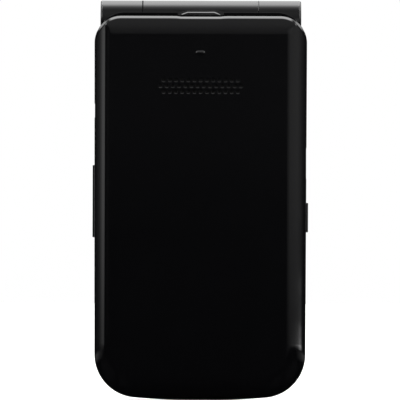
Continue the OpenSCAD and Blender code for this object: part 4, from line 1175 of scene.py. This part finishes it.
level = add(crown, "ShaderNodeMath", {0: level, 1: 1.0}, operation="SUBTRACT")
level = add(crown, "ShaderNodeMath", {0: level, 1: given["Crown"]}, operation="MULTIPLY")
shift = add(crown, "ShaderNodeCombineXYZ", {"Y": level})
height_now = add(crown, "ShaderNodeSeparateXYZ", {0: spot}).outputs["Y"]
on_top = add(crown, "FunctionNodeCompare", {0: height_now, 1: given["From"]},
             data_type="FLOAT", operation="GREATER_THAN")
bent = add(crown, "GeometryNodeSetPosition", {
    "Geometry": given["Geometry"], "Selection": on_top.outputs["Result"], "Offset": shift})
solid = add(crown, "GeometryNodeRealizeInstances", {"Geometry": bent})
# Only the key's own faces, which have the first material, take the tree's: the ink stays.
own = add(crown, "FunctionNodeCompare", {2: add(crown, "GeometryNodeInputMaterialIndex"), 3: 0},
          data_type="INT", operation="EQUAL")
coated = add(crown, "GeometryNodeSetMaterial", {
    "Geometry": solid, "Selection": own.outputs["Result"], "Material": given["Material"]})
add(crown, "NodeGroupOutput", {"Geometry": coated})
print(crown.name, "tree with", len(crown.nodes), "nodes")

# %% [markdown]
# ## The legends
# The ink of a legend stands a hundredth of a millimetre proud of its key. Digits and letters
# are text turned into a mesh. Signs are drawn as an outline and made a thin solid.

# %% Legends
HALF_INK = 0.012    # half the height of the ink


def lettering(words, size, x, z, y, material, way=1):
    """A word as a thin mesh that reads from the lid's side, or from the back with way -1."""
    curve = bpy.data.curves.new("word", "FONT")
    curve.body, curve.size, curve.extrude = words, size * MM, HALF_INK * MM
    curve.align_x, curve.align_y, curve.resolution_u = "CENTER", "CENTER", 3
    word = linked("word", curve)
    mesh = bpy.data.meshes.new_from_object(
        word.evaluated_get(bpy.context.evaluated_depsgraph_get()))
    bpy.data.objects.remove(word)
    for vertex in mesh.vertices:
        u, v, w = vertex.co
        vertex.co = (x * MM - way * u, y * MM + way * w, z * MM + v)
    mesh.materials.clear()
    mesh.materials.append(material)
    return linked("word", mesh)


def flat_shape(points, x, z, y, material):
    """A thin solid from outline points (u to the reader's right, v up) in millimetres."""
    rings = [at_depth([(x - u, z + v) for u, v in points], y + d)
             for d in (-HALF_INK, HALF_INK)]
    return to_object("shape", skin(rings), material, smooth=False)


def turned_points(points, c, s):
    """Outline points turned by an angle, given as its cosine and sine."""
    return [(u * c - v * s, u * s + v * c) for u, v in points]


def handset(turn):
    """Outline of a handset: a shallow bow with a thick ear at each end."""
    bow, inside = ([(radius * math.sin(a), 1.2 - radius * math.cos(a))
                    for a in (math.radians(first - 2 * first * i / steps)
                              for i in range(steps + 1))]
                   for radius, first, steps in ((3.2, -40, 12), (2.5, 22, 8)))
    ear = [(2.3, -0.5), (2.15, -0.3), (1.2, -0.12), (1.0, -0.25)]
    points = bow + ear + inside + [(-u, v) for u, v in reversed(ear)]
    return turned_points([(0.92 * u, 0.92 * (v + 1.05)) for u, v in points],
                         math.cos(turn), math.sin(turn))


print("handset of", len(handset(0)), "points")

# %% Key top tool
KEY_Y, KEY_TOP, FLANGE = -0.2, 1.25, 0.5
INK_Y = KEY_TOP + 0.02
CROWN_MM = 0.2


def key_top(name, width, height, x, z, legends):
    """A keycap with its flange and its legends, as the piece that stands for its node."""
    levels = [(-FLANGE, KEY_Y), (-FLANGE, KEY_Y + 0.5), (-FLANGE + 0.05, KEY_Y + 0.55),
              (0.0, KEY_Y + 0.55), (0.0, 0.95), (0.02, 1.05), (0.07, 1.13), (0.14, 1.19),
              (0.24, 1.235), (0.36, KEY_TOP)]
    reach = min(width, height) / 2
    levels += [(reach * share, KEY_TOP) for share in (0.2, 0.4, 0.6, 0.8, 0.97)]
    rings = [at_depth(rounded(width - 2 * inset, height - 2 * inset, max(2.0 - inset, 0.05),
                              x, z), y) for inset, y in levels]
    made = joined(name + "_top", to_object("cap", skin(rings), keycap_pc), *legends)
    run_tree(made, crown, middle=(x * MM, 0, z * MM), half_width=width / 2 * MM,
             half_height=height / 2 * MM, crown=CROWN_MM * MM, material=keycap_pc)
    settle(made, name, "keycaps", name, sharp=40)


print("key tops stand", round(KEY_TOP - KEY_Y, 2), "mm high")

# %% Number keys
COLUMN, ROW, LOWEST_ROW = 15.6, 10.8, 14.6
GROUPS = {"2": "ABC", "3": "DEF", "4": "GHI", "5": "JKL", "6": "MNO", "7": "PQRS", "8": "TUV",
          "9": "WXYZ", "0": "+"}
for i, sign in enumerate("123456789*0#"):
    x, z = (1 - i % 3) * COLUMN, LOWEST_ROW + (3 - i // 3) * ROW
    low = 0.9 if sign == "*" else 0.0
    beside = 3.6 if sign in GROUPS else 0
    marks = [lettering(sign, 5.4, x + beside, z - low, INK_Y, legend_ink)]
    if sign in GROUPS:
        marks.append(lettering(GROUPS[sign], 2.4, x - 2.5, z, INK_Y, legend_ink))
    key_top("key_" + {"*": "star", "#": "hash"}.get(sign, sign), 14.4, 9.4, x, z, marks)

# %% Corner keys
NAV_Z, CORNER_X, CORNER_Z = 71.2, 16.9, 4.4
bar = [(-1.6, -0.22), (1.6, -0.22), (1.6, 0.22), (-1.6, 0.22)]
for name, side, rise, points, ink in (
        ("soft_key_left", 1, CORNER_Z, bar, legend_ink),
        ("soft_key_right", -1, CORNER_Z, bar, legend_ink),
        ("call_key", 1, -CORNER_Z, handset(-0.75), green_ink),
        ("end_key", -1, -CORNER_Z, handset(math.pi), red_ink)):
    x, z = side * CORNER_X, NAV_Z + rise
    key_top(name, 11.4, 7.2, x, z, [flat_shape(points, x, z, INK_Y, ink)])

# %% The row above the digits
UPPER_ROW = LOWEST_ROW + 4 * ROW - 0.2
horn = [(-1.7, -0.5), (-0.8, -0.5), (0.4, -1.4), (0.4, 1.4), (-0.8, 0.5), (-1.7, 0.5)]
sound = [(0.9, -0.8), (1.15, -0.8), (1.15, 0.8), (0.9, 0.8)]
lens_box = [(-1.9, -1.2), (1.9, -1.2), (1.9, 0.9), (0.8, 0.9), (0.5, 1.4), (-0.5, 1.4),
            (-0.8, 0.9), (-1.9, 0.9)]
dot = [(0.62 * math.cos(a), 0.62 * math.sin(a) - 0.15)
       for a in (2 * math.pi * i / 20 for i in range(20))]
for name, x, marks in (
        ("speaker_key", COLUMN, [flat_shape(horn, COLUMN + 0.5, UPPER_ROW, INK_Y, legend_ink),
                                 flat_shape(sound, COLUMN, UPPER_ROW, INK_Y, legend_ink)]),
        ("clear_key", 0.0, [lettering("CLR", 3.4, 0, UPPER_ROW, INK_Y, legend_ink)]),
        ("camera_key", -COLUMN, [
            flat_shape(lens_box, -COLUMN, UPPER_ROW, INK_Y, legend_ink),
            flat_shape(dot, -COLUMN, UPPER_ROW, INK_Y + 0.02, keycap_pc)])):
    key_top(name, 12.6, 7.4, x, UPPER_ROW, marks)

# %% [markdown]
# ## The navigation ring and its middle key
# The ring is one metallised moulding with a round hole. Its rings of points change from a
# rounded rectangle outside to a circle inside. The middle key is turned.

# %% Navigation ring
NAV_W, NAV_H, NAV_R, NAV_HOLE, NAV_BORE = 20, 17, 7.5, 4.35, 4.86


def between(share, y, grow=0.0, hole=NAV_HOLE):
    """Points part of the way from the outline of the ring to its hole."""
    points = []
    for u, v in rounded(NAV_W + 2 * grow, NAV_H + 2 * grow, NAV_R + grow, 0, 0):
        size = math.hypot(u, v)
        points.append((u + (hole * u / size - u) * share,
                       NAV_Z + v + (hole * v / size - v) * share))
    return at_depth(points, y)


rows = [between(0, -0.2, FLANGE), between(0, 0.3, FLANGE), between(0, 0.35, FLANGE - 0.05)]
rows += [between(share, y) for share, y in (
    (0, 0.35), (0, 0.85), (0.012, 1.0), (0.04, 1.12), (0.09, 1.2), (0.18, 1.235), (0.4, 1.19),
    (0.65, 1.15), (0.86, 1.17), (0.95, 1.18), (0.985, 1.14), (1, 1.05), (1, 0.42))]
rows += [between(1, 0.41, 0, NAV_BORE), between(1, -0.2, 0, NAV_BORE)]
ring = to_object("ring", skin(rows, looped=True), silver_film)
tip = [(0.75, 0), (-0.45, 0.8), (-0.45, -0.8)]
arrows = [flat_shape(turned_points([(u + far, v) for u, v in tip], c, s), 0, NAV_Z, 1.19,
                     window_ink)
          for c, s, far in ((1, 0, 7.3), (0, 1, 6.3), (-1, 0, 7.3), (0, -1, 6.3))]
settle(joined("nav_ring_top", ring, *arrows), "nav_ring", "nav_ring", "nav_ring", sharp=35)

# %% Middle key
dome = turned_profile("dome", [
    (4.7, -0.2), (4.7, -0.05), (4.65, 0.0), (4.2, 0.0), (4.2, 0.95), (4.17, 1.05), (4.1, 1.12),
    (3.98, 1.17), (3.8, 1.195), (3.0, 1.215), (2.0, 1.23), (1.0, 1.238), (0.02, 1.24)], 72,
    (0, 0, NAV_Z), keycap_pc)
word = lettering("OK", 2.8, 0, NAV_Z, 1.25, legend_ink)
settle(joined("ok_key_top", dome, word), "ok_key", "keycaps", "ok_key", sharp=35)

# %% [markdown]
# ## The battery and its contacts
# The cell is a pouch in a grey film with soft edges. A black cap at its upper end carries
# three gilded pads, which meet three springs in a block on the board. A plus and a minus
# sign mark the pads.

# %% Battery
PAD_X = (-3, 0, 3)
cell = rounded_slab("cell", 44.0, 53.6, 0.9, -4.1, -8.5, 0, 40.8, cell_film, edge=0.7,
                    foot=0.5)
cap = rounded_slab("cap", 44.0, 2.6, 0.5, -4.1, -8.45, 0, 68.7, nylon, edge=0.3, foot=0.2)
sheet = rounded_slab("sheet", 38.0, 46.0, 1.5, -8.3, -8.5, 0, 40.6, paper_label, edge=0.03)
pads = [rounded_slab("pad", 2.2, 0.3, 0.1, -6.4, -4.6, x, 69.9, gold_plate, edge=0.05)
        for x in PAD_X]
signs = [lettering(sign, 3.2, x, 61.0, -8.505, nylon, way=-1)
         for sign, x in (("+", PAD_X[0]), ("-", PAD_X[-1]))]
settle(joined("battery_pack", cell, cap, sheet, *pads, *signs), "base", "battery_label",
       "battery", sharp=38)

# %% Battery contacts
body = rounded_slab("body", 10.0, 2.5, 0.2, -2.0, -6.0, 0, 71.5, nylon, edge=0.15)
bends = [(-2.2, 71.4), (-3.2, 70.6), (-4.3, 70.3), (-5.0, 70.1), (-5.5, 70.3), (-5.7, 70.9)]
strip = [(-.5, 0, 0), (.5, 0, 0), (.5, .05, .1), (-.5, .05, .1)]
blades = [to_object("blade", skin([[((x + a) * MM, (y + b) * MM, (z + d) * MM)
                                    for a, b, d in strip] for y, z in bends]), gold_plate)
          for x in PAD_X]
settle(joined("battery_contact_block", body, *blades), "base", "contacts",
       "battery_connector", sharp=38)

# %% [markdown]
# ## The hinge spring
# The spring that holds the lid open is a helix of round wire. A curve spiral with a circle
# swept along it gives it from three numbers: turns, radius and length.

# %% Hinge spring
helix, given = new_tree("helix", {
    "Turns": ("NodeSocketFloat", 4.0), "Radius": ("NodeSocketFloat", 2.0 * MM),
    "Wire": ("NodeSocketFloat", 0.26 * MM), "Length": ("NodeSocketFloat", 3.8 * MM),
    "Start": ("NodeSocketVector", (19.55 * MM, HINGE_Y * MM, HINGE_Z * MM)),
    "Material": ("NodeSocketMaterial", None)})
spiral = add(helix, "GeometryNodeCurveSpiral", {
    "Resolution": 24, "Rotations": given["Turns"], "Start Radius": given["Radius"],
    "End Radius": given["Radius"], "Height": given["Length"]})
wire = add(helix, "GeometryNodeCurvePrimitiveCircle", {
    "Resolution": 10, "Radius": given["Wire"]})
swept = add(helix, "GeometryNodeCurveToMesh", {
    "Curve": spiral, "Profile Curve": wire, "Fill Caps": True})
turned = add(helix, "GeometryNodeTransform", {
    "Geometry": swept, "Translation": given["Start"], "Rotation": (0, math.radians(90), 0)})
close_tree(helix, turned, given["Material"])
spring = run_tree(carrier("hinge_coil_spring"), helix, material=plated_steel)
settle(spring, "lid", "screw_steel", "hinge_spring", sharp=60)

# %% [markdown]
# ## Everything else gets its finish
# Parts inside the telephone keep the shape of their node. Each takes the material that the
# real part is made of.

# %% Finishes of the remaining nodes
finishes = (
    (satin_abs, "keypad_plate"), (solder_mask, "main_board", "lid_board"),
    (polyester, "dome_sheet"), (silicone, "key_mat"), (polyimide, "hinge_flex"),
    (gold_plate, "side_switches"),
    (tinned_steel, "shield_cans", "microphone", "usb_port", "sim_holder"),
    (nylon, "loudspeaker", "audio_jack", "antenna_carrier", "earpiece"),
    (plated_steel, "vibration_motor", "hinge_sleeve", "hinge_cam_shaft", "lid_magnet",
     "hinge_cartridge"))
for material, *nodes in finishes:
    for node in nodes:
        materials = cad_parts[node].data.materials
        materials.clear()
        materials.append(material)
    print(material.name, nodes)
